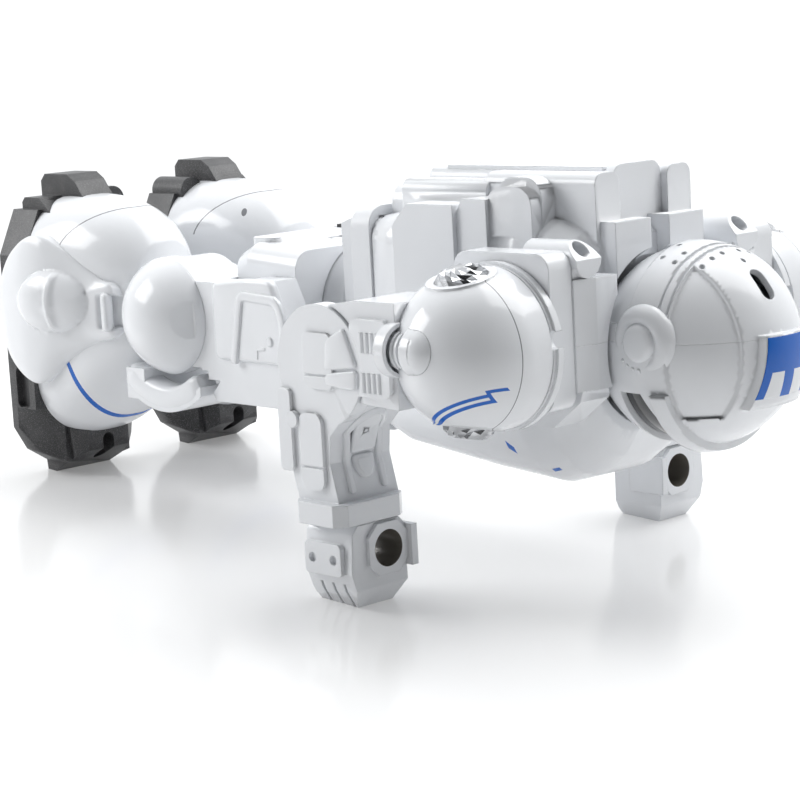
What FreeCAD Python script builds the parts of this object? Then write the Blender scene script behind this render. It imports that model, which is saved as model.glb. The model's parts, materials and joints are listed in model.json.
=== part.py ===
import FreeCAD, Part
import math
import os

# Toy robot resting on its fists and toes, face down, like someone doing a push-up.
# Everything is drawn in the spine frame: x runs along the straight body towards the head, z points out
# of the robot's back, y points to its left. save() then pitches each piece into the resting pose.

V = FreeCAD.Vector

# ---- Resting pose ----------------------------------------------------------------------------------
PITCH = 4.5  # degrees that the straight body leans, head end up
ORIGIN_Z = 86.0  # height of the spine frame's origin above the floor

# ---- Fits and walls --------------------------------------------------------------------------------
WALL = 2.4
AIR = 0.5  # between faces that turn past one another
RUNNING = 0.05  # radial clearance of a shaft in its bore
HOLE_AIR = 0.6  # radial clearance where a shaft only passes through a wall
SEAM_Z = 0.0  # every moulded shell splits into a back half and a front half here

# ---- Head ------------------------------------------------------------------------------------------
HEAD_X = 176.0
HEAD_Z = -4.6
HEAD_R = 36.5
HEAD_AIR = 1.5  # head to the hollow in the shoulders
PANEL_DEPTH = 0.8
PANEL_X = 188.6
BAND_HALF = 17.0
CREST_PROUD = 3.2
CREST_TOP_HALF = 10.6
CREST_LOW_HALF = 13.6
CREST_LOW = -24.0
CREST_HIGH = 1.5
TAB_Y0 = 2.6
TAB_Y1 = 8.6
TAB_TOP = -11.3
DECAL = 0.5
BRIM_PROUD = 2.2
EAR_X = 178.5
EAR_Z = 0.2
EAR_R = 12.8
EAR_Y = 36.2
EAR_EDGE = 2.6
EAR_BUTTON_R = 6.6
NECK_R = 8.0
NECK_DEPTH = 17.0
SPEAKER_HOLE_R = 1.0
VENT_ANGLES = (33.0, 43.0)  # degrees above the head's axis where the crown's slot ends
VENT_HALF = 3.2

# ---- Torso -----------------------------------------------------------------------------------------
# x, half width, front (low z), back (high z), corner radius at the back, corner radius at the front
TORSO_STATIONS = (
    (46.0, 34.0, -41.0, 40.0, 8.0, 8.0),
    (58.0, 38.0, -47.0, 42.0, 12.0, 16.0),
    (96.0, 40.0, -55.0, 43.0, 14.0, 30.0),
    (124.0, 40.0, -58.0, 43.0, 15.0, 33.0),
    (138.0, 38.5, -54.0, 41.0, 15.0, 30.0),
    (148.0, 35.0, -46.0, 38.0, 14.0, 26.0),
    (154.0, 29.0, -36.0, 34.0, 12.0, 21.0),
)
SPINE_HALF = 11.0
SPINE_TOP = 57.0
SPINE_X0 = 56.0
SPINE_X1 = 150.0
POD_Y0 = 13.0
POD_Y1 = 26.0
DOOR_X0 = 64.0
DOOR_X1 = 142.0
CELL_R = 5.25
CELL_LENGTH = 44.5
SHOULDER_X = 138.5
SHOULDER_Z = 0.5
SHOULDER_SHAFT_R = 7.0
SHOULDER_SHAFT_Y = 27.0
PLATE_Y = 61.3
BLOCK_Y = 50.0
PIPE_R = 6.5
PIPE_Y = 43.5
PIPE_Z = 29.5

# ---- Waist -----------------------------------------------------------------------------------------
BEND_X = 40.0
BEND_Z = 1.0
BARREL_R = 39.0
BARREL_HALF = 29.0
BARREL_X0 = 24.0
BARREL_X1 = 60.0
BEND_PIN_R = 4.0
RIM_X0 = 34.5
DRUM_R = 27.0
DRUM_X0 = -12.0
DRUM_X1 = 19.0
TURN_PIN_R = 6.0
TURN_PIN_END = -26.0

# ---- Pelvis and legs -------------------------------------------------------------------------------
PELVIS_STATIONS = (
    (-32.0, 36.0, -24.0, 24.0, 7.0, 7.0),
    (-22.0, 39.0, -29.0, 28.0, 8.0, 8.0),
    (8.0, 40.0, -29.0, 26.0, 8.0, 8.0),
)
SWITCH_X = -23.0
SWITCH_Y = 12.0
SWITCH_Z = 27.0
SWITCH_TRAVEL = 5.5
THIGH_Y0 = 40.0
THIGH_Y1 = 53.0
KNEE_X = -57.5
KNEE_Z = -1.0
KNEE_R = 24.0
TONGUE_R = 23.0
TONGUE_Y0 = 27.5
TONGUE_Y1 = 46.0
CHEEK_Y0 = 21.0
KNEE_PIN_R = 4.0
CAP_HEIGHT = 17.0
GUARD_R0 = 35.5
GUARD_R1 = 39.0
FOOT_Y = 37.0
BOOT_STATIONS = (
    (-134.0, 29.0, -57.0, 46.0, 26.0, 26.0),
    (-120.0, 28.5, -55.0, 46.0, 26.0, 26.0),
    (-104.0, 26.0, -47.0, 44.0, 24.0, 24.0),
    (-88.0, 21.0, -34.0, 38.0, 20.0, 20.0),
    (-76.0, 14.0, -20.0, 27.0, 13.0, 13.0),
)
GUARD_CORNER = 5.0
GUARD_RIM = 2.2
SOLE_X0 = -152.0
SOLE_X1 = -134.0
SOLE_HALF = 31.0
SOLE_TOP = 41.0
TOE_X1 = -126.0
REST_X1 = -146.0  # the toes rest on the floor as far as here
TAPER_TOP = -44.0
TAPER_HALF = 20.0
TOE_WHEEL_Z = -30.0
HEEL_WHEEL_Z = 12.0
FLOOR_MARGIN = 6.0  # the toes and knuckles are drawn this far past the floor, then trimmed to it
WHEEL_R = 9.0
WHEEL_WIDTH = 8.0
WHEEL_PROUD = 2.0
AXLE_R = 2.0

# ---- Arms ------------------------------------------------------------------------------------------
DOME_R = 28.7
DOME_Y = 74.0
DOME_BASE_Y = PLATE_Y + AIR
LENS_R = 9.5
LENS_TILT = 12.0  # degrees that the lenses lean outwards
BEZEL_R = 12.5
BEZEL_TOP = DOME_R - 2.2
ELBOW_X = 85.0
ELBOW_Z = -5.0
ELBOW_R = 22.0
ELBOW_TONGUE_R = 17.0
ELBOW_PIN_R = 3.5
ARM_Y0 = 70.0
ARM_Y1 = 99.0
ELBOW_Y0 = 75.5
ELBOW_Y1 = 92.0
WRIST_X = 83.5
WRIST_Y = 84.5
WRIST_Z = -62.0
WRIST_R = 6.0
WRIST_LENGTH = 9.0
GRIP_R = 6.7
GRIP_Z = -72.6
GRIP_Y = 81.0
FIST_X0 = 71.0
FIST_X1 = 95.0


# The part's origin is the middle of its footprint's length, from the soles' top edges to the crest.
LEAN = math.radians(PITCH)
REACH_HEAD = HEAD_X * math.cos(LEAN) - HEAD_Z * math.sin(LEAN) + HEAD_R + CREST_PROUD + DECAL
REACH_FOOT = SOLE_X0 * math.cos(LEAN) - SOLE_TOP * math.sin(LEAN)
ORIGIN_X = -(REACH_HEAD + REACH_FOOT) / 2


# ---- Helpers ---------------------------------------------------------------------------------------
def box(x0, x1, y0, y1, z0, z1):
    """A block between two opposite corners."""
    return Part.makeBox(x1 - x0, y1 - y0, z1 - z0, V(x0, y0, z0))


def ball(x, y, z, radius):
    """A full sphere."""
    return Part.makeSphere(radius, V(x, y, z))


def rod(start, end, radius):
    """A cylinder from one point to another."""
    run = V(*end) - V(*start)
    return Part.makeCylinder(radius, run.Length, V(*start), run)


def cone(start, end, radius0, radius1):
    """A cone frustum from one point to another."""
    run = V(*end) - V(*start)
    return Part.makeCone(radius0, radius1, run.Length, V(*start), run)


def prism(axis, low, high, points):
    """Extrude an outline along an axis; points hold the other two coordinates in x, y, z order."""
    place = {"x": lambda a, b: V(low, a, b), "y": lambda a, b: V(a, low, b), "z": lambda a, b: V(a, b, low)}
    step = {"x": V(high - low, 0, 0), "y": V(0, high - low, 0), "z": V(0, 0, high - low)}
    corners = [place[axis](a, b) for a, b in points]
    return Part.Face(Part.makePolygon(corners + corners[:1])).extrude(step[axis])


def rounded(axis, radius, x0, x1, y0, y1, z0, z1):
    """A block whose four edges along one axis are rounded."""
    solid = box(x0, x1, y0, y1, z0, z1)
    along = {"x": V(1, 0, 0), "y": V(0, 1, 0), "z": V(0, 0, 1)}[axis]
    edges = [edge for edge in solid.Edges if abs(edge.tangentAt(edge.FirstParameter).dot(along)) > 0.9]
    return solid.makeFillet(radius, edges)


def section(x, y_mid, half, low, high, back_radius, front_radius):
    """A rounded rectangle across the spine at x, as one closed wire."""
    corners = (
        (y_mid + half - back_radius, high - back_radius, back_radius, 0),
        (y_mid - half + back_radius, high - back_radius, back_radius, 90),
        (y_mid - half + front_radius, low + front_radius, front_radius, 180),
        (y_mid + half - front_radius, low + front_radius, front_radius, 270),
    )
    arcs = []
    for mid_y, mid_z, radius, start in corners:
        turns = [math.radians(start + step) for step in (0, 45, 90)]
        arcs.append([V(x, mid_y + radius * math.cos(turn), mid_z + radius * math.sin(turn))
                     for turn in turns])
    edges = []
    for index, arc in enumerate(arcs):
        edges.append(Part.Arc(*arc).toShape())
        edges.append(Part.makeLine(arc[2], arcs[(index + 1) % 4][0]))
    return Part.Wire(edges)


def lofted(stations, y_mid=0.0, inset=0.0, ruled=True):
    """A solid through rounded sections, shrunk by an inset for a hollow's inside."""
    wires = []
    for index, (x, half, low, high, back_radius, front_radius) in enumerate(stations):
        ends = {0: inset, len(stations) - 1: -inset}
        wires.append(section(x + ends.get(index, 0.0), y_mid, half - inset, low + inset, high - inset,
                             back_radius - inset, front_radius - inset))
    return Part.makeLoft(wires, True, ruled)


def fuse(first, *others):
    """Join shapes into one."""
    return first.multiFuse(list(others)).removeSplitter()


def cut(shape, *tools):
    """Take tools away from a shape."""
    return shape.cut(list(tools)).removeSplitter()


def both(make, *values):
    """The same shape on the left and, mirrored, on the right."""
    left = make(*values)
    return [left, mirrored(left)]


def mirrored(shape):
    """The shape on the other side of the robot's midplane."""
    return shape.mirror(V(0, 0, 0), V(0, 1, 0))


def ring(x, z, outer, inner, y0, y1):
    """A tube about an axis across the robot."""
    return cut(rod((x, y0, z), (x, y1, z), outer), rod((x, y0 - 1, z), (x, y1 + 1, z), inner))


BIG = 400.0


def back_half(shape):
    """What lies on the back's side of the seam."""
    return shape.common(box(-BIG, BIG, -BIG, BIG, SEAM_Z, BIG))


def front_half(shape):
    """What lies on the front's side of the seam."""
    return shape.common(box(-BIG, BIG, -BIG, BIG, -BIG, SEAM_Z))


def floor_z(x):
    """The floor's height in the spine frame, which is pitched."""
    return -(ORIGIN_Z + x * math.sin(LEAN)) / math.cos(LEAN)


def save(name, shape):
    """Pitch a piece into the resting pose, trim it to the floor and write it as one STEP file."""
    placed = shape.copy()
    placed.rotate(V(0, 0, 0), V(0, 1, 0), -PITCH)
    placed.translate(V(ORIGIN_X, 0, ORIGIN_Z))
    if placed.BoundBox.ZMin < 0:
        placed = placed.cut(box(-BIG, BIG, -BIG, BIG, -BIG, 0))
    placed.exportStep("parts/" + name + ".step")


def save_pair(name, shape):
    """Write a piece of the left side and its mirror image of the right side."""
    save(name + "_L", shape)
    save(name + "_R", mirrored(shape))


# ---- Head ------------------------------------------------------------------------------------------
def head_ball(offset):
    """A sphere around the head's centre, larger or smaller than the helmet by an offset."""
    return ball(HEAD_X, 0, HEAD_Z, HEAD_R + offset)


def head_skin(outer, inner, block):
    """The part of a spherical layer of the helmet that a block holds."""
    return head_ball(outer).cut(head_ball(inner)).common(block)


def crest_block(border):
    """The tapered block that bounds the crest, or with a border the panel on it."""
    top = (CREST_TOP_HALF - border, CREST_HIGH - border)
    low = (CREST_LOW_HALF - border, CREST_LOW + border)
    return prism("x", HEAD_X, BIG, (top, low, (-low[0], low[1]), (-top[0], top[1])))


def helmet_outside():
    """The helmet's outside with its crest, brim, recessed side panels and ear-to-ear grooves."""
    solid = head_ball(0)
    side_panel = box(PANEL_X, HEAD_X + BIG, BAND_HALF, BIG, HEAD_Z - 22, HEAD_Z + 32)
    rear_step = box(-BIG, HEAD_X - 4, -BIG, BIG, 6, BIG)
    recesses = both(head_skin, 5, -PANEL_DEPTH, side_panel)
    recesses.append(head_skin(5, -1.2, rear_step))
    for x in (HEAD_X + 8.2, HEAD_X + 11.4):
        recesses.append(head_skin(5, -PANEL_DEPTH, box(x, x + 0.7, -BIG, BIG, 8, BIG)))
    crest = head_skin(CREST_PROUD, -1, crest_block(0.0))
    brim = head_skin(BRIM_PROUD, -1, box(HEAD_X + 6, HEAD_X + 12, -BIG, BIG, -BIG, HEAD_Z - 13))
    return fuse(cut(solid, *recesses), crest, brim)


def helmet(outside):
    """The whole hollow helmet with its openings, before it splits at the seam."""
    visor_window = prism("y", -BIG, BIG, (
        (HEAD_X - 9, HEAD_Z - 13), (HEAD_X + 1, HEAD_Z - 13), (HEAD_X + 5, HEAD_Z - 26), (HEAD_X + 5, -BIG),
        (HEAD_X - 9, -BIG)))
    tools = [head_ball(-WALL), visor_window, rod((100, 0, HEAD_Z), (HEAD_X, 0, HEAD_Z), NECK_R)]
    holes = [(15.0, (4.5, 10.0, 15.5)), (20.5, (0.0,)), (5.5, (13.3, 18.5)), (-1.0, (8.0, 17.0))]
    for offset, places in holes:
        for y in places:
            for side in (-1, 1):
                x = HEAD_X + offset
                tools.append(rod((x, side * y, HEAD_Z + 20), (x, side * y, HEAD_Z + 45), SPEAKER_HOLE_R))
    slot_sides = []
    for angle in VENT_ANGLES:
        run = V(math.cos(math.radians(angle)), 0, math.sin(math.radians(angle)))
        start = V(HEAD_X, 0, HEAD_Z) + run * (HEAD_R - WALL - 3)
        end = V(HEAD_X, 0, HEAD_Z) + run * (HEAD_R + 4)
        tools.append(rod(tuple(start), tuple(end), VENT_HALF))
        slot_sides.append(((start.x, start.z), (end.x, end.z)))
    first, last = slot_sides
    tools.append(prism("y", -VENT_HALF, VENT_HALF, (*first, *reversed(last))))
    return cut(outside, *tools)


def ear_disc(outside):
    """The left ear: a stepped round cap with a button and a row of short ribs."""
    cap = rod((EAR_X, 24, EAR_Z), (EAR_X, EAR_Y - EAR_EDGE, EAR_Z), EAR_R)
    rim = cone((EAR_X, EAR_Y - EAR_EDGE, EAR_Z), (EAR_X, EAR_Y, EAR_Z), EAR_R, EAR_R - EAR_EDGE)
    button = rod((EAR_X, EAR_Y - 1, EAR_Z), (EAR_X, EAR_Y + 1, EAR_Z), EAR_BUTTON_R)
    button_top = cone((EAR_X, EAR_Y + 1, EAR_Z), (EAR_X, EAR_Y + 2.2, EAR_Z), EAR_BUTTON_R,
                      EAR_BUTTON_R - 1.5)
    groove = ring(EAR_X, EAR_Z, EAR_BUTTON_R + 1.2, EAR_BUTTON_R, EAR_Y - 0.8, EAR_Y + 3)
    return cut(fuse(cap, rim, button, button_top), groove, outside)


def head():
    """Save the head's pieces."""
    outside = helmet_outside()
    whole = helmet(outside)
    save("helmet_back_shell", back_half(whole))
    save("helmet_front_shell", front_half(whole))
    visor_block = box(HEAD_X - 13, HEAD_X + 9, -BIG, BIG, -BIG, HEAD_Z - 9)
    save("visor", head_skin(-WALL, -WALL - 2, visor_block))
    save_pair("ear_disc", ear_disc(outside))
    panel = head_skin(CREST_PROUD + DECAL, CREST_PROUD, crest_block(DECAL))
    tabs = both(box, HEAD_X, BIG, TAB_Y0, TAB_Y1, CREST_LOW, TAB_TOP)
    save("crest_panel", cut(panel, *tabs))
    flange_x = HEAD_X - HEAD_R + WALL + 8
    flange = rod((HEAD_X - HEAD_R, 0, HEAD_Z), (flange_x, 0, HEAD_Z), NECK_R + 5).common(head_ball(-WALL))
    front_x = HEAD_X - HEAD_R - HEAD_AIR - WALL
    shaft = rod((front_x - NECK_DEPTH, 0, HEAD_Z), (flange_x, 0, HEAD_Z), NECK_R)
    save("neck_shaft", fuse(shaft, flange))
    cone_low = HEAD_Z + HEAD_R - WALL - 12
    cradle = cone((HEAD_X + 8, 0, cone_low), (HEAD_X + 8, 0, cone_low + 9), 8, 14)
    legs = rod((HEAD_X + 8, 0, cone_low + 9), (HEAD_X + 8, 0, cone_low + 20), 14)
    save("head_speaker", fuse(cradle, legs).common(head_ball(-WALL)))


# ---- Torso -----------------------------------------------------------------------------------------
def side_armour():
    """The left row of boxes and fins along the back's edge."""
    long_box = prism("y", 26, 42, ((66, 10), (66, 38), (74, 46.5), (98, 46.5), (98, 10)))
    step_box = prism("y", 26, 40, ((97, 10), (97, 42), (101, 48.5), (113, 48.5), (113, 10)))
    outer_fin = rounded("y", 7.5, 111.5, 133.5, 33, 38, 20, 53)
    inner_fin = rounded("y", 7.5, 112.5, 134, 26, 33, 20, 56)
    return fuse(long_box, step_box, outer_fin, inner_fin)


def front_block():
    """The left block between the shoulder plate and the neck, with its sloped foot."""
    block = prism("z", -16, 23, ((136, 30), (136, BLOCK_Y), (162.6, BLOCK_Y), (165, 41), (165, 30)))
    foot = prism("y", 32, BLOCK_Y - 3, ((138, -30), (138, -14), (163, -14), (161, -20), (148, -30)))
    return fuse(block, foot)


def torso_outside():
    """The torso's outside, both halves together."""
    trunk = lofted(TORSO_STATIONS)
    spine = rounded("x", 4, SPINE_X0, SPINE_X1, -SPINE_HALF, SPINE_HALF, 30, SPINE_TOP)
    arch = rounded("x", 5, SPINE_X1 - 4, SPINE_X1, -SPINE_HALF - 2, SPINE_HALF + 2, 28, SPINE_TOP + 2)
    tail_arch = rounded("x", 8, 48, 55, -24, 24, 30, 52)
    pod = rounded("x", 4, 100, 153, POD_Y0, POD_Y1, 30, SPINE_TOP)
    pod_low = rounded("x", 4, 58, 102, POD_Y0, POD_Y1 + 2, 30, SPINE_TOP - 3)
    collar = box(146, 160, 5, 24, 12, 40)
    pieces = [spine, arch, tail_arch]
    for piece in (pod, pod_low, collar, side_armour(), front_block()):
        pieces.extend((piece, mirrored(piece)))
    return fuse(trunk, *pieces)


def barrel_space(offset):
    """The drum-shaped space about the waist's bending axis."""
    half = BARREL_HALF + offset
    return rod((BEND_X, -half, BEND_Z), (BEND_X, half, BEND_Z), BARREL_R + offset)


def door_block(air):
    """The battery door, or with air its opening."""
    return box(DOOR_X0 - air, DOOR_X1 + air, -SPINE_HALF + 2 - air, SPINE_HALF - 2 + air,
               SPINE_TOP - WALL - air, SPINE_TOP + 0.8)


def torso_shells(outside):
    """The hollow torso with the hollows for head, waist, shoulders and batteries."""
    socket = head_ball(HEAD_AIR)
    inside = lofted(TORSO_STATIONS, inset=WALL)
    battery_space = box(DOOR_X0 + 1, DOOR_X1 - 1, -SPINE_HALF + WALL, SPINE_HALF - WALL, 20, SPINE_TOP)
    inside = cut(fuse(inside, battery_space), head_ball(HEAD_AIR + WALL))
    shaft_hole = rod((SHOULDER_X, -BIG, SHOULDER_Z), (SHOULDER_X, BIG, SHOULDER_Z),
                     SHOULDER_SHAFT_R + HOLE_AIR)
    neck_hole = rod((120, 0, HEAD_Z), (150, 0, HEAD_Z), NECK_R + HOLE_AIR)
    return cut(outside, inside, socket, barrel_space(AIR), shaft_hole, neck_hole, door_block(0.0))


def shoulder_plate(outside):
    """The left plate that the arm's dome turns against."""
    plate = rounded("y", 6, 117, 162, BLOCK_Y, PLATE_Y, -22, 33)
    housing = rod((SHOULDER_X, 33, SHOULDER_Z), (SHOULDER_X, BLOCK_Y + 1, SHOULDER_Z),
                  SHOULDER_SHAFT_R + 13)
    hole = rod((SHOULDER_X, 0, SHOULDER_Z), (SHOULDER_X, BIG, SHOULDER_Z), SHOULDER_SHAFT_R + HOLE_AIR)
    return cut(fuse(plate, housing), outside, hole, head_ball(HEAD_AIR))


def thruster_pipe(outside, plate):
    """The left pipe above the shoulder, with a slanted nose and an oval mouth."""
    pipe = rod((139, PIPE_Y, PIPE_Z), (165, PIPE_Y, PIPE_Z), PIPE_R)
    foot = box(140, 162, PIPE_Y - PIPE_R + 0.5, PIPE_Y + PIPE_R - 0.5, 22, PIPE_Z)
    nose = prism("y", 20, 60, (
        (170, 20), (164, 20), (164.5, PIPE_Z), (152, PIPE_Z + 12), (170, PIPE_Z + 12)))
    mouth = rod((145, PIPE_Y, PIPE_Z - 1), (175, PIPE_Y, PIPE_Z + 7), 3.2)
    return cut(fuse(pipe, foot), nose, mouth, outside, plate, head_ball(HEAD_AIR))


def torso():
    """Save the torso's pieces."""
    outside = torso_outside()
    shells = torso_shells(outside)
    save("torso_back_shell", back_half(shells))
    save("torso_chest_shell", front_half(shells))
    ribs = [box(x, x + 1.2, -6, 6, SPINE_TOP - 0.4, SPINE_TOP + 1) for x in (70, 73, 76)]
    save("battery_door", cut(door_block(0.0), *ribs))
    cell_x = 80.0
    cell_z = SPINE_TOP - WALL - CELL_R
    cells = []
    for z in (cell_z, cell_z - 2 * CELL_R):
        cells.append(rod((cell_x, 0, z), (cell_x + CELL_LENGTH, 0, z), CELL_R))
        cells.append(rod((cell_x + CELL_LENGTH, 0, z), (cell_x + CELL_LENGTH + 1, 0, z), CELL_R / 3))
    save("battery_cells", fuse(*cells))
    plate = shoulder_plate(outside)
    save_pair("shoulder_plate", plate)
    save_pair("thruster_pipe", thruster_pipe(outside, plate))
    front_x = HEAD_X - HEAD_R - HEAD_AIR - WALL
    neck_block = box(front_x - NECK_DEPTH - 3, front_x + 6, -14, 14, HEAD_Z - 14, HEAD_Z + 14)
    neck_bore = rod((front_x - NECK_DEPTH - 0.5, 0, HEAD_Z), (150, 0, HEAD_Z), NECK_R + RUNNING)
    save("neck_gearbox", cut(neck_block, neck_bore, head_ball(HEAD_AIR + WALL)))
    gearbox = box(SHOULDER_X - 14, SHOULDER_X + 9, SHOULDER_SHAFT_Y - 9, 31.5,
                  SHOULDER_Z - 14, SHOULDER_Z + 14)
    bore = rod((SHOULDER_X, SHOULDER_SHAFT_Y - 0.5, SHOULDER_Z), (SHOULDER_X, 60, SHOULDER_Z),
               SHOULDER_SHAFT_R + RUNNING)
    save_pair("shoulder_gearbox", cut(gearbox, bore, head_ball(HEAD_AIR + WALL)))
    rim_end, half, low, high, back_radius, front_radius = TORSO_STATIONS[0]
    rim = lofted(((RIM_X0, half, low - 1, high + 3, back_radius, front_radius),
                  (rim_end, half + 1, low - 2, high + 4, back_radius, front_radius)))
    pin = rod((BEND_X, -BARREL_HALF - 3, BEND_Z), (BEND_X, BARREL_HALF + 3, BEND_Z), BEND_PIN_R)
    save("waist_rim", cut(rim, barrel_space(AIR), pin))
    save("waist_hinge_pin", pin)


# ---- Waist -----------------------------------------------------------------------------------------
def waist():
    """Save the barrel that bends in the torso and the drum that turns in the pelvis."""
    barrel = barrel_space(0).common(box(BARREL_X0, BARREL_X1, -BIG, BIG, -BIG, BIG))
    hollow = rod((BEND_X, -BARREL_HALF + WALL, BEND_Z), (BEND_X, BARREL_HALF - WALL, BEND_Z), BARREL_R - 4)
    hollow = hollow.common(box(BARREL_X0 + 4, BIG, -BIG, BIG, -BIG, BIG))
    groove = ring(BEND_X, BEND_Z, BARREL_R + 1, BARREL_R - 1.6, -BIG, BIG)
    groove = groove.common(box(BARREL_X0 + 7, RIM_X0 - 0.5, -BIG, BIG, -BIG, BIG))
    bore = rod((BEND_X, -BIG, BEND_Z), (BEND_X, BIG, BEND_Z), BEND_PIN_R + RUNNING)
    save("waist_barrel", cut(barrel, hollow, groove, bore))
    drum = fuse(rod((DRUM_X0, 0, 0), (DRUM_X1, 0, 0), DRUM_R),
                cone((DRUM_X1, 0, 0), (DRUM_X1 + 2, 0, 0), DRUM_R, DRUM_R - 2),
                rod((DRUM_X1, 0, 0), (BARREL_X0, 0, 0), DRUM_R - 5),
                rod((TURN_PIN_END, 0, 0), (DRUM_X0, 0, 0), TURN_PIN_R))
    drum_hollow = rod((DRUM_X0 + WALL, 0, 0), (DRUM_X1 - WALL, 0, 0), DRUM_R - WALL)
    save("waist_drum", cut(drum, drum_hollow))


# ---- Pelvis, thighs and knees ----------------------------------------------------------------------
def pelvis_shells():
    """The pelvis with the socket that the waist drum turns in."""
    outside = fuse(lofted(PELVIS_STATIONS), rounded("z", 5, -31, -16, -30, 30, 20, 29.5))
    socket = rod((DRUM_X0 - AIR, 0, 0), (60, 0, 0), DRUM_R + AIR)
    inside = cut(box(-28, DRUM_X0 - AIR - WALL - 0.6, -32, 32, -20, 20),
                 rod((-60, 0, 0), (0, 0, 0), TURN_PIN_R + 4))
    bore = rod((TURN_PIN_END - AIR, 0, 0), (0, 0, 0), TURN_PIN_R + RUNNING)
    slot = box(SWITCH_X - 4, SWITCH_X + 4, SWITCH_Y, SWITCH_Y + 6 + SWITCH_TRAVEL, SWITCH_Z, SWITCH_Z + 20)
    return cut(outside, socket, inside, bore, slot)


def thigh():
    """The left thigh: a framed outer side and the two cheeks of the knee."""
    slab = prism("y", THIGH_Y0, THIGH_Y1, (
        (-33, 14), (-8, 14), (-6, 16), (8, 16), (20, -8), (20, -24), (8, -34), (-30, -34), (-34, -26)))
    wall = box(-38, -32, CHEEK_Y0, THIGH_Y1, -22, 14)
    bars = []
    for y0, y1, radius in ((CHEEK_Y0, TONGUE_Y0 - AIR, TONGUE_R - 4), (TONGUE_Y1 + AIR, THIGH_Y1, KNEE_R)):
        bars.append(rod((KNEE_X, y0, KNEE_Z), (KNEE_X, y1, KNEE_Z), radius))
        bars.append(box(KNEE_X, -32, y0, y1, KNEE_Z - radius + 4, KNEE_Z + radius - 9))
    bulge = rod((-28, THIGH_Y0 + 6, -29), (10, THIGH_Y0 + 6, -29), 6)
    frame = prism("y", THIGH_Y1 - 1, THIGH_Y1 + 1.5, ((-26, -13), (-7, 15.5), (8, 15.5), (19, -10)))
    opening = ((-20, -10), (-4.5, 12.5), (5.5, 12.5), (14, -8))
    inset = prism("y", THIGH_Y1 - 1, THIGH_Y1 + 3, opening)
    floor_plate = prism("y", THIGH_Y1 - 2, THIGH_Y1 - 0.6, opening)
    relief = [rod((6, THIGH_Y1 - 1, -2), (6, THIGH_Y1 + 0.6, -2), 2.2),
              box(-6, 0, THIGH_Y1 - 1, THIGH_Y1 + 0.5, -6, -4.4),
              box(-6, -4.4, THIGH_Y1 - 1, THIGH_Y1 + 0.5, -9.5, -4.4)]
    rim_air = prism("z", -BIG, -5, (
        (13, THIGH_Y0 - 1), (30, THIGH_Y0 - 1), (30, THIGH_Y0 + 9), (19.5, THIGH_Y0 + 9)))
    solid = cut(fuse(slab, wall, bulge, frame, *bars), inset, rim_air)
    tongue_space = rod((KNEE_X, TONGUE_Y0 - AIR, KNEE_Z), (KNEE_X, TONGUE_Y1 + AIR, KNEE_Z),
                       TONGUE_R + AIR)
    guard_space = rod((KNEE_X, TONGUE_Y0 - 6, KNEE_Z), (KNEE_X, THIGH_Y1 + 9, KNEE_Z), GUARD_R1 + AIR)
    guard_space = guard_space.common(box(-BIG, BIG, -BIG, BIG, -BIG, KNEE_Z - KNEE_R - AIR))
    pin = rod((KNEE_X, 0, KNEE_Z), (KNEE_X, BIG, KNEE_Z), KNEE_PIN_R)
    return cut(fuse(solid, floor_plate, *relief), tongue_space, guard_space, pin)


def knee_cap():
    """The left knee's outer dome, with a flat facet towards the hip and a slot towards the foot."""
    radius = (KNEE_R ** 2 + CAP_HEIGHT ** 2) / (2 * CAP_HEIGHT)
    dome = ball(KNEE_X, THIGH_Y1 + CAP_HEIGHT - radius, KNEE_Z, radius)
    dome = dome.common(box(-BIG, BIG, THIGH_Y1, BIG, -BIG, BIG))
    facet = prism("z", -BIG, BIG, (
        (KNEE_X + 21, THIGH_Y1 + 4), (KNEE_X + 13, THIGH_Y1 + 16), (0, THIGH_Y1 + 30), (0, THIGH_Y1 + 4)))
    facet = facet.common(box(-BIG, BIG, 0, BIG, KNEE_Z - 11, KNEE_Z + 10))
    slot = box(KNEE_X - 19, KNEE_X - 17, THIGH_Y1 + 5, BIG, KNEE_Z - 9, KNEE_Z + 9)
    return cut(dome, facet, slot)


def pelvis():
    """Save the pelvis, its switch, the thighs and the knee pieces."""
    shells = pelvis_shells()
    save("pelvis_back_shell", back_half(shells))
    save("pelvis_front_shell", front_half(shells))
    base = box(SWITCH_X - 3.7, SWITCH_X + 3.7, SWITCH_Y + 0.5, SWITCH_Y + 6, SWITCH_Z, SWITCH_Z + 1.4)
    grip = box(SWITCH_X - 2.5, SWITCH_X + 2.5, SWITCH_Y + 1.5, SWITCH_Y + 5, SWITCH_Z + 1.4, SWITCH_Z + 3.6)
    save("power_switch", fuse(base, grip))
    save_pair("thigh", thigh())
    save_pair("knee_cap", knee_cap())
    save_pair("knee_pin", rod((KNEE_X, CHEEK_Y0 + 1, KNEE_Z), (KNEE_X, THIGH_Y1, KNEE_Z), KNEE_PIN_R))


# ---- Lower legs ------------------------------------------------------------------------------------
def knee_cheek_space(air):
    """The space on both sides of the left knee's tongue that the thigh's cheeks and the cap take up."""
    return [rod((KNEE_X, 0, KNEE_Z), (KNEE_X, TONGUE_Y0, KNEE_Z), KNEE_R + air),
            rod((KNEE_X, TONGUE_Y1, KNEE_Z), (KNEE_X, BIG, KNEE_Z), KNEE_R + air)]


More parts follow.
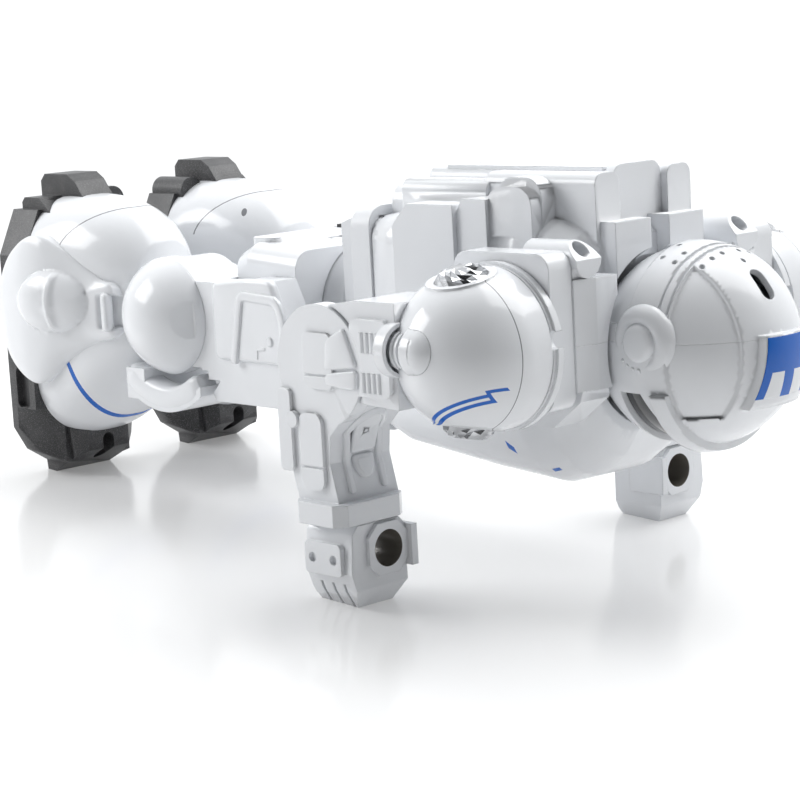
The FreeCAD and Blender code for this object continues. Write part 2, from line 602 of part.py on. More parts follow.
def shin(boot_outside):
    """The left shin: the knee's tongue, the bar to the boot and the curved plate in front of the knee."""
    tongue = rod((KNEE_X, TONGUE_Y0, KNEE_Z), (KNEE_X, TONGUE_Y1, KNEE_Z), TONGUE_R)
    bar = box(-98, KNEE_X, TONGUE_Y0, TONGUE_Y1, -20, 18)
    plate = ring(KNEE_X, KNEE_Z, GUARD_R1, GUARD_R0, TONGUE_Y0 - 4, THIGH_Y1 + 5)
    sector = prism("y", 0, BIG, (
        (KNEE_X - 20, -28), (KNEE_X - 20, -60), (KNEE_X + 24, -60), (KNEE_X + 24, -28)))
    web = box(KNEE_X - 24, KNEE_X - 12, TONGUE_Y0 - 4, THIGH_Y1 + 5, -36, -23)
    neck = box(KNEE_X - 24, KNEE_X - 12, TONGUE_Y0, TONGUE_Y1, -27, -10)
    solid = fuse(tongue, bar, plate.common(sector), web, neck)
    bore = rod((KNEE_X, 0, KNEE_Z), (KNEE_X, BIG, KNEE_Z), KNEE_PIN_R + RUNNING)
    return cut(solid, bore, boot_outside, *knee_cheek_space(AIR))


def sole(boot_outside):
    """The left sole: a chamfered slab, a toe block, a heel block and side lugs."""
    y = FOOT_Y
    half = SOLE_HALF
    toe_low = floor_z(SOLE_X0) - FLOOR_MARGIN
    slab = prism("x", SOLE_X0, SOLE_X1, (
        (y - 14, toe_low), (y + 14, toe_low), (y + 15, -70), (y + 25, -63.5), (y + half, -53),
        (y + half, SOLE_TOP - 19), (y + half - 9, SOLE_TOP), (y - half + 9, SOLE_TOP),
        (y - half, SOLE_TOP - 19), (y - half, -53), (y - 25, -63.5), (y - 15, -70)))
    toe = prism("x", SOLE_X1 - 1, TOE_X1, (
        (y - 8, toe_low), (y + 8, toe_low), (y + 14, -70), (y + 16, -46), (y - 16, -46), (y - 14, -70)))
    taper = prism("z", toe_low - 9, TAPER_TOP, (
        (SOLE_X0 - 1, y - half), (SOLE_X0 + 4, y - half), (SOLE_X1 - 4, y - TAPER_HALF), (TOE_X1, y - 11),
        (TOE_X1, y + 11), (SOLE_X1 - 4, y + TAPER_HALF), (SOLE_X0 + 4, y + half), (SOLE_X0 - 1, y + half)))
    upper = box(SOLE_X0, SOLE_X1, y - half, y + half, TAPER_TOP, SOLE_TOP)
    toe_chin = prism("y", 0, BIG, (
        (TOE_X1 + 1, -64), (REST_X1, floor_z(REST_X1)), (REST_X1, toe_low - 9), (TOE_X1 + 1, toe_low - 9)))
    heel = prism("y", y - 8, y + 8, (
        (SOLE_X0 + 2, 36), (SOLE_X0 + 2, 52), (SOLE_X0 + 5, 55), (SOLE_X1 + 3, 55), (SOLE_X1 + 8, 52),
        (-118, 42), (-118, 36)))
    lug = prism("y", y + 8, y + 20, (
        (SOLE_X0 + 4, 30), (SOLE_X0 + 4, 44), (SOLE_X0 + 6, 46), (SOLE_X1 - 2, 46), (-126, 38), (-126, 30)))
    tube = rod((SOLE_X0 + 1, y - 15, 42), (SOLE_X1 + 4, y - 15, 42), 6)
    tube_hole = rod((SOLE_X0 - 1, y - 15, 42), (SOLE_X1 - 6, y - 15, 42), 4)
    notches = []
    for low in (y - half, y + half - 3):
        notches.append(rounded("y", 3, SOLE_X0 + 5, SOLE_X1 - 4, low, low + 3, -44, -26))
    groove = rounded("x", 2.9, SOLE_X1 - 4, TOE_X1 + 1, y - 3, y + 3, -70, -58)
    lower = cut(fuse(slab, toe).common(taper), toe_chin)
    solid = cut(fuse(lower, slab.common(upper), heel, lug, tube), tube_hole, *notches)
    pockets = []
    for z in (TOE_WHEEL_Z, HEEL_WHEEL_Z):
        pockets.append(box(SOLE_X0 - 1, SOLE_X1 - 1, y - WHEEL_WIDTH / 2 - AIR, y + WHEEL_WIDTH / 2 + AIR,
                           z - WHEEL_R - AIR, z + WHEEL_R + AIR))
        x = SOLE_X0 - WHEEL_PROUD + WHEEL_R
        pockets.append(rod((x, y - 10, z), (x, y + 10, z), AXLE_R + RUNNING))
    return cut(solid, groove, boot_outside, *pockets)


def foot_wheel(z):
    """One of the left foot's rollers, with its axle's ends in the sole."""
    x = SOLE_X0 - WHEEL_PROUD + WHEEL_R
    tyre = rod((x, FOOT_Y - WHEEL_WIDTH / 2, z), (x, FOOT_Y + WHEEL_WIDTH / 2, z), WHEEL_R)
    axle = rod((x, FOOT_Y - 9.5, z), (x, FOOT_Y + 9.5, z), AXLE_R)
    return fuse(tyre, axle)


def ankle_guard(boot_outside, sole_solid):
    """The left fan-shaped shell over the boot's side, with its ball-shaped bulge, fin and clip."""
    fan = prism("y", 52, 69, (
        (-153, -2), (-149, 13), (-138, 24.5), (-121, 33), (-104, 20), (-88, 12), (-84, 11), (-84, -11),
        (-100, -15), (-110, -20), (-127, -33), (-147, -24)))
    corners = [edge for edge in fan.Edges if edge.Length > 16.9 and abs(edge.tangentAt(0).y) > 0.9]
    fan = fan.makeFillet(GUARD_CORNER, [edge for edge in corners if edge.BoundBox.XMax < -90])
    rim = [edge for edge in fan.Edges if edge.BoundBox.YMin > 68.9]
    fan = fan.makeFillet(GUARD_RIM, rim)
    bulge = ball(-117.5, 52, 0, 26).common(box(-BIG, BIG, 60, 74, -BIG, BIG))
    slit = box(-122, -121, 70, 80, -18, 16)
    notch = box(-91, -83, 60, 70, -7, 6)
    roller = rod((-87.5, 64, -8), (-87.5, 64, 7), 2.6)
    knee_air = rod((KNEE_X, 0, KNEE_Z), (KNEE_X, BIG, KNEE_Z), KNEE_R + 2)
    return cut(fuse(cut(fan, notch), cut(bulge, slit), roller), boot_outside, sole_solid, knee_air)


def lower_leg():
    """Save the pieces below the knees."""
    outside = lofted(BOOT_STATIONS, y_mid=FOOT_Y, ruled=False)
    outside = cut(outside, *knee_cheek_space(AIR))
    inside = lofted(BOOT_STATIONS, y_mid=FOOT_Y, inset=WALL, ruled=False)
    inside = cut(inside, *knee_cheek_space(AIR + WALL))
    save_pair("shin", shin(outside))
    groove = ball(-104, FOOT_Y, 60, 31).cut(ball(-104, FOOT_Y, 60, 30.2))
    groove = groove.cut(lofted(BOOT_STATIONS, y_mid=FOOT_Y, inset=PANEL_DEPTH, ruled=False))
    save_pair("boot", cut(outside, inside, groove))
    sole_solid = sole(outside)
    save_pair("sole", sole_solid)
    save_pair("ankle_guard", ankle_guard(outside, sole_solid))
    save_pair("toe_wheel", foot_wheel(TOE_WHEEL_Z))
    save_pair("heel_wheel", foot_wheel(HEEL_WHEEL_Z))


# ---- Arms ------------------------------------------------------------------------------------------
def tilted(shape, side):
    """Lean a shape that stands on the dome's back (side 1) or front (side -1) outwards."""
    leaning = shape.copy()
    leaning.rotate(V(SHOULDER_X, DOME_Y, SHOULDER_Z), V(1, 0, 0), -side * LENS_TILT)
    return leaning


def lens_rod(side, low, high, radius):
    """A cylinder on a lens's axis, between two heights over the dome's centre."""
    start = (SHOULDER_X, DOME_Y, SHOULDER_Z + side * low)
    end = (SHOULDER_X, DOME_Y, SHOULDER_Z + side * high)
    return tilted(rod(start, end, radius), side)


def dome_outside():
    """The left shoulder's outside: a dome on a short drum, with a lens bezel on top and below."""
    x = SHOULDER_X
    z = SHOULDER_Z
    drum = rod((x, DOME_BASE_Y, z), (x, DOME_Y, z), DOME_R)
    lip = rod((x, DOME_BASE_Y, z), (x, DOME_BASE_Y + 3, z), DOME_R + 1)
    bezels = [lens_rod(side, BEZEL_TOP - 5, BEZEL_TOP, BEZEL_R) for side in (-1, 1)]
    pockets = [lens_rod(side, BEZEL_TOP, DOME_R + 5, BEZEL_R) for side in (-1, 1)]
    cap = ball(x, DOME_Y, z, DOME_R).common(box(-BIG, BIG, DOME_Y - 1, BIG, -BIG, BIG))
    solid = fuse(drum, lip, cap, *bezels)
    seam = ring(x, z, DOME_R + 3, DOME_R - 0.6, DOME_Y - 8, DOME_Y - 7.4)
    notch = rod((x + DOME_R - 1, DOME_BASE_Y - 1, z + 4), (x + DOME_R - 1, DOME_BASE_Y + 5, z + 4), 3.2)
    return cut(solid, seam, notch, *pockets)


def shoulder_dome(outside):
    """The left dome as a shell, with the shaft that the gearbox drives."""
    x = SHOULDER_X
    z = SHOULDER_Z
    cap = ball(x, DOME_Y, z, DOME_R - WALL).common(box(-BIG, BIG, DOME_Y - 1, BIG, -BIG, BIG))
    hollow = fuse(rod((x, DOME_BASE_Y + 4, z), (x, DOME_Y, z), DOME_R - WALL), cap)
    shaft = rod((x, SHOULDER_SHAFT_Y, z), (x, DOME_BASE_Y + 4, z), SHOULDER_SHAFT_R)
    lens_holes = [lens_rod(side, 0, 60, LENS_R) for side in (-1, 1)]
    return cut(fuse(cut(outside, hollow), shaft), *lens_holes)


def lens(side):
    """A faceted crystal that fills one bezel; side 1 is the back's, -1 the front's."""
    solid = lens_rod(side, BEZEL_TOP - 4, BEZEL_TOP, LENS_R)
    rings = ((0.0, LENS_R), (2.6, LENS_R * 0.85), (4.4, LENS_R * 0.45))
    wires = []
    for index, (rise, radius) in enumerate(rings):
        height = SHOULDER_Z + side * (BEZEL_TOP - 0.5 + rise)
        turns = [2 * math.pi * (k + 0.5 * index) / 10 for k in range(10)]
        points = [V(SHOULDER_X + radius * math.cos(turn), DOME_Y + radius * math.sin(turn), height)
                  for turn in turns]
        wires.append(Part.makePolygon(points + points[:1]))
    return fuse(solid, tilted(Part.makeLoft(wires, True, True), side))


def upper_arm(outside):
    """The left upper arm from the dome to the elbow's tongue, with its vents and the knob on the dome."""
    block = prism("y", ELBOW_Y0 - 4, ARM_Y1 - 1, (
        (ELBOW_X, -16), (124, -18), (124, 19), (104, 19), (ELBOW_X, 16)))
    flange = rounded("y", 3, 103, 122, ARM_Y1 - 3, ARM_Y1 + 1, -14, 13)
    ribs = []
    for z in (-9, 5):
        for k in range(4):
            x = 108 + 2.6 * k
            ribs.append(rounded("z", 0.8, x, x + 1.7, ARM_Y1, ARM_Y1 + 1.8, z - 3.5, z + 3.5))
    knob_y = DOME_Y + DOME_R - 6
    knob = fuse(ball(137.5, knob_y, 3, 9).common(box(137, BIG, 0, BIG, -BIG, BIG)),
                rod((124, knob_y, 3), (137.5, knob_y, 3), 6.5),
                rod((133, knob_y, 3), (137, knob_y, 3), 9))
    collar = cut(rod((121, knob_y, 3), (126, knob_y, 3), 9.5), rod((122.5, knob_y, 3), (127, knob_y, 3), 8))
    knob_ribs = [rod((x, knob_y, 3), (x + 1.2, knob_y, 3), 7.1) for x in (126.5, 128.7, 130.9)]
    tongue = rod((ELBOW_X, ELBOW_Y0, ELBOW_Z), (ELBOW_X, ELBOW_Y1, ELBOW_Z), ELBOW_TONGUE_R)
    solid = fuse(block, flange, tongue, knob, collar, *(ribs + knob_ribs))
    cheeks = [rod((ELBOW_X, ARM_Y0 - 10, ELBOW_Z), (ELBOW_X, ELBOW_Y0, ELBOW_Z), ELBOW_R + AIR),
              rod((ELBOW_X, ELBOW_Y1, ELBOW_Z), (ELBOW_X, ARM_Y1 + 10, ELBOW_Z), ELBOW_R + AIR)]
    behind = cut(box(ELBOW_X - 40, ELBOW_X, ARM_Y0, ARM_Y1 + 5, -40, 40), tongue)
    screw = rod((98, 84, 14), (98, 84, 30), 2.8)
    bore = rod((ELBOW_X, 0, ELBOW_Z), (ELBOW_X, BIG, ELBOW_Z), ELBOW_PIN_R + RUNNING)
    return cut(solid, behind, outside, screw, bore, *cheeks)


def forearm():
    """The left forearm: two cheeks on the elbow, the strut, two pads and the cuff."""
    cheeks = [rod((ELBOW_X, ARM_Y0, ELBOW_Z), (ELBOW_X, ELBOW_Y0 - AIR, ELBOW_Z), ELBOW_R - 2),
              rod((ELBOW_X, ELBOW_Y1 + AIR, ELBOW_Z), (ELBOW_X, ARM_Y1, ELBOW_Z), ELBOW_R)]
    strut = prism("y", ARM_Y0, ARM_Y1, (
        (64, -12), (64.6, -32), (71, -56), (92, -56), (88, -40), (89, -30), (99, -20), (99, -12)))
    edge = rounded("y", 2, 63.2, 70, ARM_Y1 - 3, ARM_Y1 + 1.5, -44, -14)
    pad = rounded("y", 3, 78, 93, ARM_Y1 - 2, ARM_Y1 + 1.2, -13, 7)
    low_pad = rounded("y", 4, 74, 86, ARM_Y1 - 3, ARM_Y1 + 1.5, -50, -22)
    pad_lines = [box(77, 94, ARM_Y1 + 0.5, ARM_Y1 + 3, -8.6, -7.8),
                 box(73, 87, ARM_Y1 + 0.8, ARM_Y1 + 3, -42, -41.2)]
    boss = rod((71, ARM_Y1 - 2, -25), (71, ARM_Y1 + 2.2, -25), 3)
    cuff = prism("z", WRIST_Z, -54, (
        (70, 74), (73, 70), (93, 70), (96, 74), (96, 99), (92, 103), (74, 103), (70, 99)))
    solid = fuse(strut, edge, pad, low_pad, boss, cuff, *cheeks)
    tongue_space = rod((ELBOW_X, ELBOW_Y0 - AIR, ELBOW_Z), (ELBOW_X, ELBOW_Y1 + AIR, ELBOW_Z),
                       ELBOW_TONGUE_R + AIR)
    pin = rod((ELBOW_X, 0, ELBOW_Z), (ELBOW_X, ARM_Y1 - 2, ELBOW_Z), ELBOW_PIN_R)
    socket = rod((WRIST_X, WRIST_Y, WRIST_Z - 1), (WRIST_X, WRIST_Y, WRIST_Z + WRIST_LENGTH + 1),
                 WRIST_R + RUNNING)
    arm_space = box(ELBOW_X, BIG, ELBOW_Y0 - AIR, ELBOW_Y1 + AIR, -18 - AIR, BIG)
    return cut(solid, tongue_space, arm_space, pin, socket, *pad_lines)


def fist():
    """The left fist: a chamfered block with a grip hole, a screw plate, a thumb plate and knuckles."""
    top = WRIST_Z - AIR
    low = floor_z(FIST_X1) - FLOOR_MARGIN
    body = prism("x", FIST_X0, FIST_X1, (
        (71, top - 3), (74, top), (94, top), (97, top - 3), (98, -80), (95.5, -87), (88, low), (78, low),
        (71, -86)))
    octagon = ((-9.5, -5), (-9.5, 5), (-5, 9.5), (5, 9.5), (9.5, 5), (9.5, -5), (5, -9.5), (-5, -9.5))
    collar = prism("x", FIST_X1 - 1, FIST_X1 + 1.5, [(GRIP_Y + dy, GRIP_Z + dz) for dy, dz in octagon])
    thumb = box(FIST_X1 - 14, FIST_X1 + 3.5, 68.5, 71.5, GRIP_Z - 8, GRIP_Z + 7)
    plate = rounded("y", 2, 72, 91, 95, 99.5, -81, -69)
    dimples = [rod((x, 98, -75), (x, 101, -75), 1.8) for x in (76, 87)]
    grooves = [box(x, x + 1.2, 86, 110, low - 1, -84) for x in (76.4, 82.4, 88.4)]
    grip = rod((FIST_X0 - 1, GRIP_Y, GRIP_Z), (FIST_X1 + 5, GRIP_Y, GRIP_Z), GRIP_R)
    pin = rod((WRIST_X, WRIST_Y, top - 1), (WRIST_X, WRIST_Y, WRIST_Z + WRIST_LENGTH), WRIST_R)
    chamfers = [prism("y", 0, BIG, ((FIST_X1 + 2, -83), (FIST_X1 + 2, low - 2), (FIST_X1 - 10, low - 2))),
                prism("y", 0, BIG, ((FIST_X0 - 1, -87), (FIST_X0 + 5, low - 2), (FIST_X0 - 1, low - 2)))]
    return fuse(cut(fuse(body, collar, thumb, plate), grip, *(dimples + grooves + chamfers)), pin)


def arms():
    """Save the arms' pieces."""
    outside = dome_outside()
    save_pair("shoulder_dome", shoulder_dome(outside))
    save_pair("shoulder_lens_back", lens(1))
    save_pair("shoulder_lens_front", lens(-1))
    save_pair("upper_arm", upper_arm(outside))
    save_pair("elbow_pin", rod((ELBOW_X, ARM_Y0, ELBOW_Z), (ELBOW_X, ARM_Y1 - 2, ELBOW_Z), ELBOW_PIN_R))
    save_pair("forearm", forearm())
    save_pair("fist", fist())


os.makedirs("parts", exist_ok=True)
head()
torso()
waist()
pelvis()
lower_leg()
arms()
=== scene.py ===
import json
import logging
import math
from dataclasses import dataclass
from enum import Enum
from functools import partialmethod
from typing import Any, Callable, Mapping, Sequence, Union

import bmesh
import bpy
import numpy as np
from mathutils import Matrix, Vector

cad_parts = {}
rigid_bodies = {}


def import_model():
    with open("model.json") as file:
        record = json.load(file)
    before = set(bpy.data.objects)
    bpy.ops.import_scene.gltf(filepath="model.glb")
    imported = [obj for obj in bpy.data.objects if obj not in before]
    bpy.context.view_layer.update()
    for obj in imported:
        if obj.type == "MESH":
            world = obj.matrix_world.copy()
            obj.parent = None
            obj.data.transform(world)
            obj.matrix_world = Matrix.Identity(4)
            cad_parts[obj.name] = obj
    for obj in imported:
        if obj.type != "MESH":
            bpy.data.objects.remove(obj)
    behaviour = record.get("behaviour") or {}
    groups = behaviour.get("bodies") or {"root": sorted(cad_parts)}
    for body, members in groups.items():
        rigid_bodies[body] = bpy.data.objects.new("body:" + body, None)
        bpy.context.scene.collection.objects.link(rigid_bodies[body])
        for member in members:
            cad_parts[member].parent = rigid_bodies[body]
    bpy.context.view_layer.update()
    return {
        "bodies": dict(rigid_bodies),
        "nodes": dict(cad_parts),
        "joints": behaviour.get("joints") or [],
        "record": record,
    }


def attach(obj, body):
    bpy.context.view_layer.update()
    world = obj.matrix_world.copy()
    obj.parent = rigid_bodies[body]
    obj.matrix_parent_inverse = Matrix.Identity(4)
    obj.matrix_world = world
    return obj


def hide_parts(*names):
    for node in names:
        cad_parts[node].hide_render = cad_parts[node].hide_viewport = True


# Toy robot that rests on its fists and toes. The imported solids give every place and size; this script
# rounds their moulded edges, adds the small forms that the solids leave plain, and gives every piece
# its finish. Sizes in the classes are millimetres in the spine frame: x runs along the straight body
# towards the head, z points out of the back, y to the robot's left.

LOG = logging.getLogger("toy_robot")
MM = 0.001
PITCH = math.radians(4.5)
BEND_MM = (40.0, 0.0, 1.0)  # the waist hinge in the spine frame, which ties the two frames together
EDGE_SAMPLES = 4  # rays that soften an edge
WELD = 0.002  # millimetres within which a copied solid's corners are one
FLAT = 0.3  # degrees within which a copied solid's faces are one
CREASE = 32.0  # degrees past which an edge stays sharp
CORNER_STEPS = 7  # points along each rounded corner of an outline
OUTWARDS = (0.0, 1.0, 0.0)  # the left side's way out
AHEAD = (1.0, 0.0, 0.0)  # towards the head

Colour = tuple[float, float, float]
Point = tuple[float, float, float]
Pair = tuple[float, float]
Outline = tuple[Pair, ...]


# ---- Shader sheets ----
class Wire:
    """One value that runs between nodes, with the usual arithmetic written on it."""

    def __init__(self, sheet: "Sheet", socket: bpy.types.NodeSocket) -> None:
        """Wrap a node's output socket."""
        self.sheet = sheet
        self.socket = socket

    def math(self, operation: str, *others: Any, flip: bool = False) -> "Wire":
        """Add a Math node.

        Args:
            operation: the Math node's operation.
            others: the other operands.
            flip: whether the first other operand goes before this one.

        Returns:
            The node's result.
        """
        operands = [self, *others]
        if flip:
            operands[0], operands[1] = operands[1], operands[0]
        return self.sheet.node("ShaderNodeMath", {"operation": operation}, dict(enumerate(operands)))

    __add__ = partialmethod(math, "ADD")
    __sub__ = partialmethod(math, "SUBTRACT")
    __rsub__ = partialmethod(math, "SUBTRACT", flip=True)
    __mul__ = partialmethod(math, "MULTIPLY")
    __truediv__ = partialmethod(math, "DIVIDE")
    __abs__ = partialmethod(math, "ABSOLUTE")
    under = partialmethod(math, "LESS_THAN")  # 1 where this is less than the other, else 0
    over = partialmethod(math, "GREATER_THAN")  # 1 where this is more than the other, else 0
    most = partialmethod(math, "MAXIMUM")  # the larger of the two

    def between(self, low: float, high: float) -> "Wire":
        """1 where this lies between low and high, else 0."""
        return self.over(low) * self.under(high)

    def ramp(self, low: float, high: float, start: float = 0.0, end: float = 1.0) -> "Wire":
        """A smooth step from start to end as this goes from low to high."""
        settings = {"interpolation_type": "SMOOTHSTEP"}
        return self.sheet.node("ShaderNodeMapRange", settings, {0: self, 1: low, 2: high, 3: start, 4: end})


class Sheet:
    """The node tree of one material or of the surroundings."""

    def __init__(self, owner: Union[bpy.types.Material, bpy.types.World]) -> None:
        """Start with an empty tree in its owner."""
        self.owner = owner
        owner.use_nodes = True
        self.tree = owner.node_tree
        self.tree.nodes.clear()

    @classmethod
    def named(cls, name: str) -> "Sheet":
        """The empty sheet of a new material."""
        return cls(bpy.data.materials.new(name))

    def node(self, kind: str, settings: Mapping[str, Any], inputs: Mapping[Union[int, str], Any],
             output: Union[int, str] = 0) -> Wire:
        """Add a node: its settings first, then what its sockets hold.

        Args:
            kind: the node's type.
            settings: its settings; "stops" sets a ramp's positions and colours.
            inputs: values or wires by socket.
            output: the socket to hand back.

        Returns:
            The chosen output.
        """
        made = self.tree.nodes.new(kind)
        for key, value in settings.items():
            if key == "stops":
                elements = made.color_ramp.elements
                while len(elements) < len(value):
                    elements.new(1.0)
                for element, (place, colour) in zip(elements, value):
                    element.position = place
                    element.color = (*colour, 1.0)
            else:
                setattr(made, key, value)
        for key, value in inputs.items():
            socket = made.inputs[key]
            if isinstance(value, Wire):
                self.tree.links.new(value.socket, socket)
            elif socket.type == "RGBA" and len(value) == 3:
                socket.default_value = (*value, 1.0)
            else:
                socket.default_value = value
        return Wire(self, made.outputs[output])

    def place(self) -> Wire:
        """The point on the object, in metres."""
        return self.node("ShaderNodeTexCoord", {}, {}, "Object")

    def spine_point(self, shift: Sequence[float]) -> tuple[Wire, Wire, Wire]:
        """The point in the spine frame, in millimetres: turned back by the pitch, then shifted.

        Args:
            shift: the millimetres added after the turn.

        Returns:
            Its x, y and z.
        """
        point = self.node("ShaderNodeMapping", {}, {"Vector": self.place(), "Location": shift,
                                                    "Rotation": (0.0, PITCH, 0.0), "Scale": (1 / MM,) * 3})
        split = self.node("ShaderNodeSeparateXYZ", {}, {0: point}).socket.node
        return Wire(self, split.outputs["X"]), Wire(self, split.outputs["Y"]), Wire(self, split.outputs["Z"])

    def noise(self, scale: float, detail: float = 2.0, rough: float = 0.5) -> Wire:
        """Fractal noise over the object, 0 to 1."""
        return self.node("ShaderNodeTexNoise", {}, {"Vector": self.place(), "Scale": scale, "Detail": detail,
                                                    "Roughness": rough}, 0)

    def speckle(self, scale: float) -> Wire:
        """The distance to the nearest of many scattered points."""
        return self.node("ShaderNodeTexVoronoi", {}, {"Vector": self.place(), "Scale": scale}, "Distance")

    def blend(self, mask: Wire, first: Any, second: Any) -> Wire:
        """First where mask is 0 and second where it is 1, as colours."""
        settings = {"data_type": "RGBA"}
        return self.node("ShaderNodeMix", settings, {0: mask, 6: first, 7: second}, 2)

    def bump(self, height: Wire, depth: float, edge: float) -> Wire:
        """A normal that follows height, over edges that are softened to a radius.

        Args:
            height: the relief, 0 to 1.
            depth: metres for a height of 1.
            edge: the edges' radius in millimetres.

        Returns:
            The normal.
        """
        soft = self.node("ShaderNodeBevel", {"samples": EDGE_SAMPLES}, {"Radius": edge * MM})
        return self.node("ShaderNodeBump", {}, {"Height": height, "Strength": 1.0, "Distance": depth,
                                                "Normal": soft})

    def surface(self, **inputs: Any) -> bpy.types.Material:
        """Close the material with one Principled shader.

        Args:
            inputs: its sockets, with underscores for spaces.

        Returns:
            The finished material.
        """
        named = {key.replace("_", " "): value for key, value in inputs.items()}
        shader = self.node("ShaderNodeBsdfPrincipled", {}, named)
        self.end("ShaderNodeOutputMaterial", shader)
        return self.owner

    def end(self, kind: str, shader: Wire) -> None:
        """Send a shader to the output node of the given kind."""
        output = self.tree.nodes.new(kind)
        self.tree.links.new(shader.socket, output.inputs["Surface"])


# ---- Finishes ----
Mask = Callable[[Wire, Wire, Wire], Wire]


@dataclass(frozen=True)
class Plastic:
    """Moulded plastic: faint orange peel, clouded gloss, soft edges, any printed areas and any painted shade.
    """

    name: str
    colour: Colour
    roughness: float
    shade: float = 0.97  # colour multiplier in the clouds
    peel: float = 0.00002  # depth of the orange peel, metres
    peel_scale: float = 420.0
    coat: float = 0.0
    edge: float = 0.7  # millimetres
    prints: tuple[tuple[Mask, Colour], ...] = ()

    def material(self, shift: Sequence[float]) -> bpy.types.Material:
        """Build the material.

        Args:
            shift: what takes a point to the spine frame.

        Returns:
            The material.
        """
        sheet = Sheet.named(self.name)
        clouds = sheet.noise(28.0, 3.0)
        dim = tuple(channel * self.shade for channel in self.colour)
        colour = sheet.blend(clouds.ramp(0.35, 0.7), self.colour, dim)
        # prints, and painted shade in the fists' grip holes and the boots' screw holes, are laid over the
        # colour
        if self.prints:
            point = sheet.spine_point(shift)
            for mask, mark_colour in self.prints:
                colour = sheet.blend(mask(*point), colour, mark_colour)
        smudge = sheet.noise(95.0, 4.0, 0.6)
        rough = smudge.ramp(0.3, 0.8, self.roughness * 0.85, self.roughness * 1.25)
        normal = sheet.bump(sheet.noise(self.peel_scale, 1.0), self.peel, self.edge)
        return sheet.surface(Base_Color=colour, Roughness=rough, Normal=normal, Coat_Weight=self.coat,
                             Coat_Roughness=0.06, IOR=1.5)


@dataclass(frozen=True)
class Grain:
    """Dark moulded plastic or rubber with fine pale specks and a matt, pebbled skin."""

    name: str
    colour: Colour
    speck: Colour
    roughness: float
    depth: float = 0.00008
    edge: float = 0.6  # millimetres

    def material(self, shift: Sequence[float]) -> bpy.types.Material:
        """Build the material.

        Args:
            shift: not used: the grain has no place of its own.

        Returns:
            The material.
        """
        sheet = Sheet.named(self.name)
        fine = sheet.noise(2600.0, 2.0, 0.7)
        clouds = sheet.noise(60.0, 3.0)
        colour = sheet.blend(fine.ramp(0.5, 0.72), self.colour, self.speck)
        colour = sheet.blend(clouds.ramp(0.4, 0.75, 0.0, 0.3), colour, self.speck)
        rough = fine.ramp(0.3, 0.8, self.roughness * 0.8, self.roughness * 1.2)
        normal = sheet.bump(sheet.noise(1500.0, 2.0), self.depth, self.edge)
        return sheet.surface(Base_Color=colour, Roughness=rough, Normal=normal)


@dataclass(frozen=True)
class Bright:
    """Vacuum-plated plastic or polished steel: a mirror that varies a little from face to face."""

    name: str
    colour: Colour
    roughness: float

    def material(self, shift: Sequence[float]) -> bpy.types.Material:
        """Build the material.

        Args:
            shift: not used: the metal has no place of its own.

        Returns:
            The material.
        """
        sheet = Sheet.named(self.name)
        cells = sheet.speckle(260.0)
        dim = tuple(channel * 0.72 for channel in self.colour)
        colour = sheet.blend(cells.ramp(0.1, 0.7), self.colour, dim)
        rough = sheet.noise(300.0).ramp(0.3, 0.7, self.roughness * 0.7, self.roughness * 1.5)
        return sheet.surface(Base_Color=colour, Roughness=rough, Metallic=1.0)


Finish = Union[Plastic, Grain, Bright]


# ---- Shapes ----
class Side(Enum):
    """The robot's left or right: its nodes' ending and the sign of y."""

    LEFT = ("L", 1.0)
    RIGHT = ("R", -1.0)

    @property
    def ending(self) -> str:
        """What the side's nodes end in."""
        return self.value[0]

    @property
    def sign(self) -> float:
        """The side's sign of y."""
        return self.value[1]


class Half(Enum):
    """The robot's back or front: its nodes' name and the sign of z."""

    BACK = ("back", 1.0)
    FRONT = ("front", -1.0)


@dataclass(frozen=True)
class Shape:
    """A closed surface: spine millimetres and the faces between them."""

    points: np.ndarray
    faces: list[list[int]]

    def on(self, side: Side) -> "Shape":
        """The left side's shape on the given side: y times the side's sign."""
        return Shape(self.points * (1.0, side.sign, 1.0), self.faces)

    def joined(self, other: "Shape") -> "Shape":
        """This shape and other as one."""
        moved = [[corner + len(self.points) for corner in face] for face in other.faces]
        return Shape(np.concatenate([self.points, other.points]), self.faces + moved)


def spots(x: Any, y: Any, z: Any) -> np.ndarray:
    """The points with these coordinates, which are numbers or arrays that broadcast."""
    return np.stack(np.broadcast_arrays(x, y, z), axis=-1)


def wrapped(rings: np.ndarray) -> Shape:
    """Close rows of points that run round a form: quads between neighbours, and a face at each end.

    Args:
        rings: the points, as rows by columns by 3; columns close on themselves.

    Returns:
        The shape.
    """
    rows, columns = rings.shape[:2]
    row, column = np.meshgrid(np.arange(rows - 1), np.arange(columns), indexing="ij")
    here = row * columns + column
    beside = row * columns + (column + 1) % columns
    quads = np.stack([here, beside, beside + columns, here + columns], axis=-1).reshape(-1, 4).tolist()
    first = list(range(columns))[::-1]
    last = list(range((rows - 1) * columns, rows * columns))
    return Shape(rings.reshape(-1, 3), quads + [first, last])


def lathe(centre: Point, profile: Outline, columns: int) -> Shape:
    """Turn a profile about an axis across the robot: x, z = centre + r (cos a, sin a), y = profile's y.

    Args:
        centre: the axis's x and z, as a point.
        profile: radius and y, from the middle of one end to the middle of the other.
        columns: how many points go round.

    Returns:
        The shape.
    """
    radius, reach = np.array(profile).T[:, :, None]
    turn = np.linspace(0.0, 2 * np.pi, columns, endpoint=False)[None, :]
    return wrapped(spots(centre[0] + radius * np.cos(turn), reach, centre[2] + radius * np.sin(turn)))


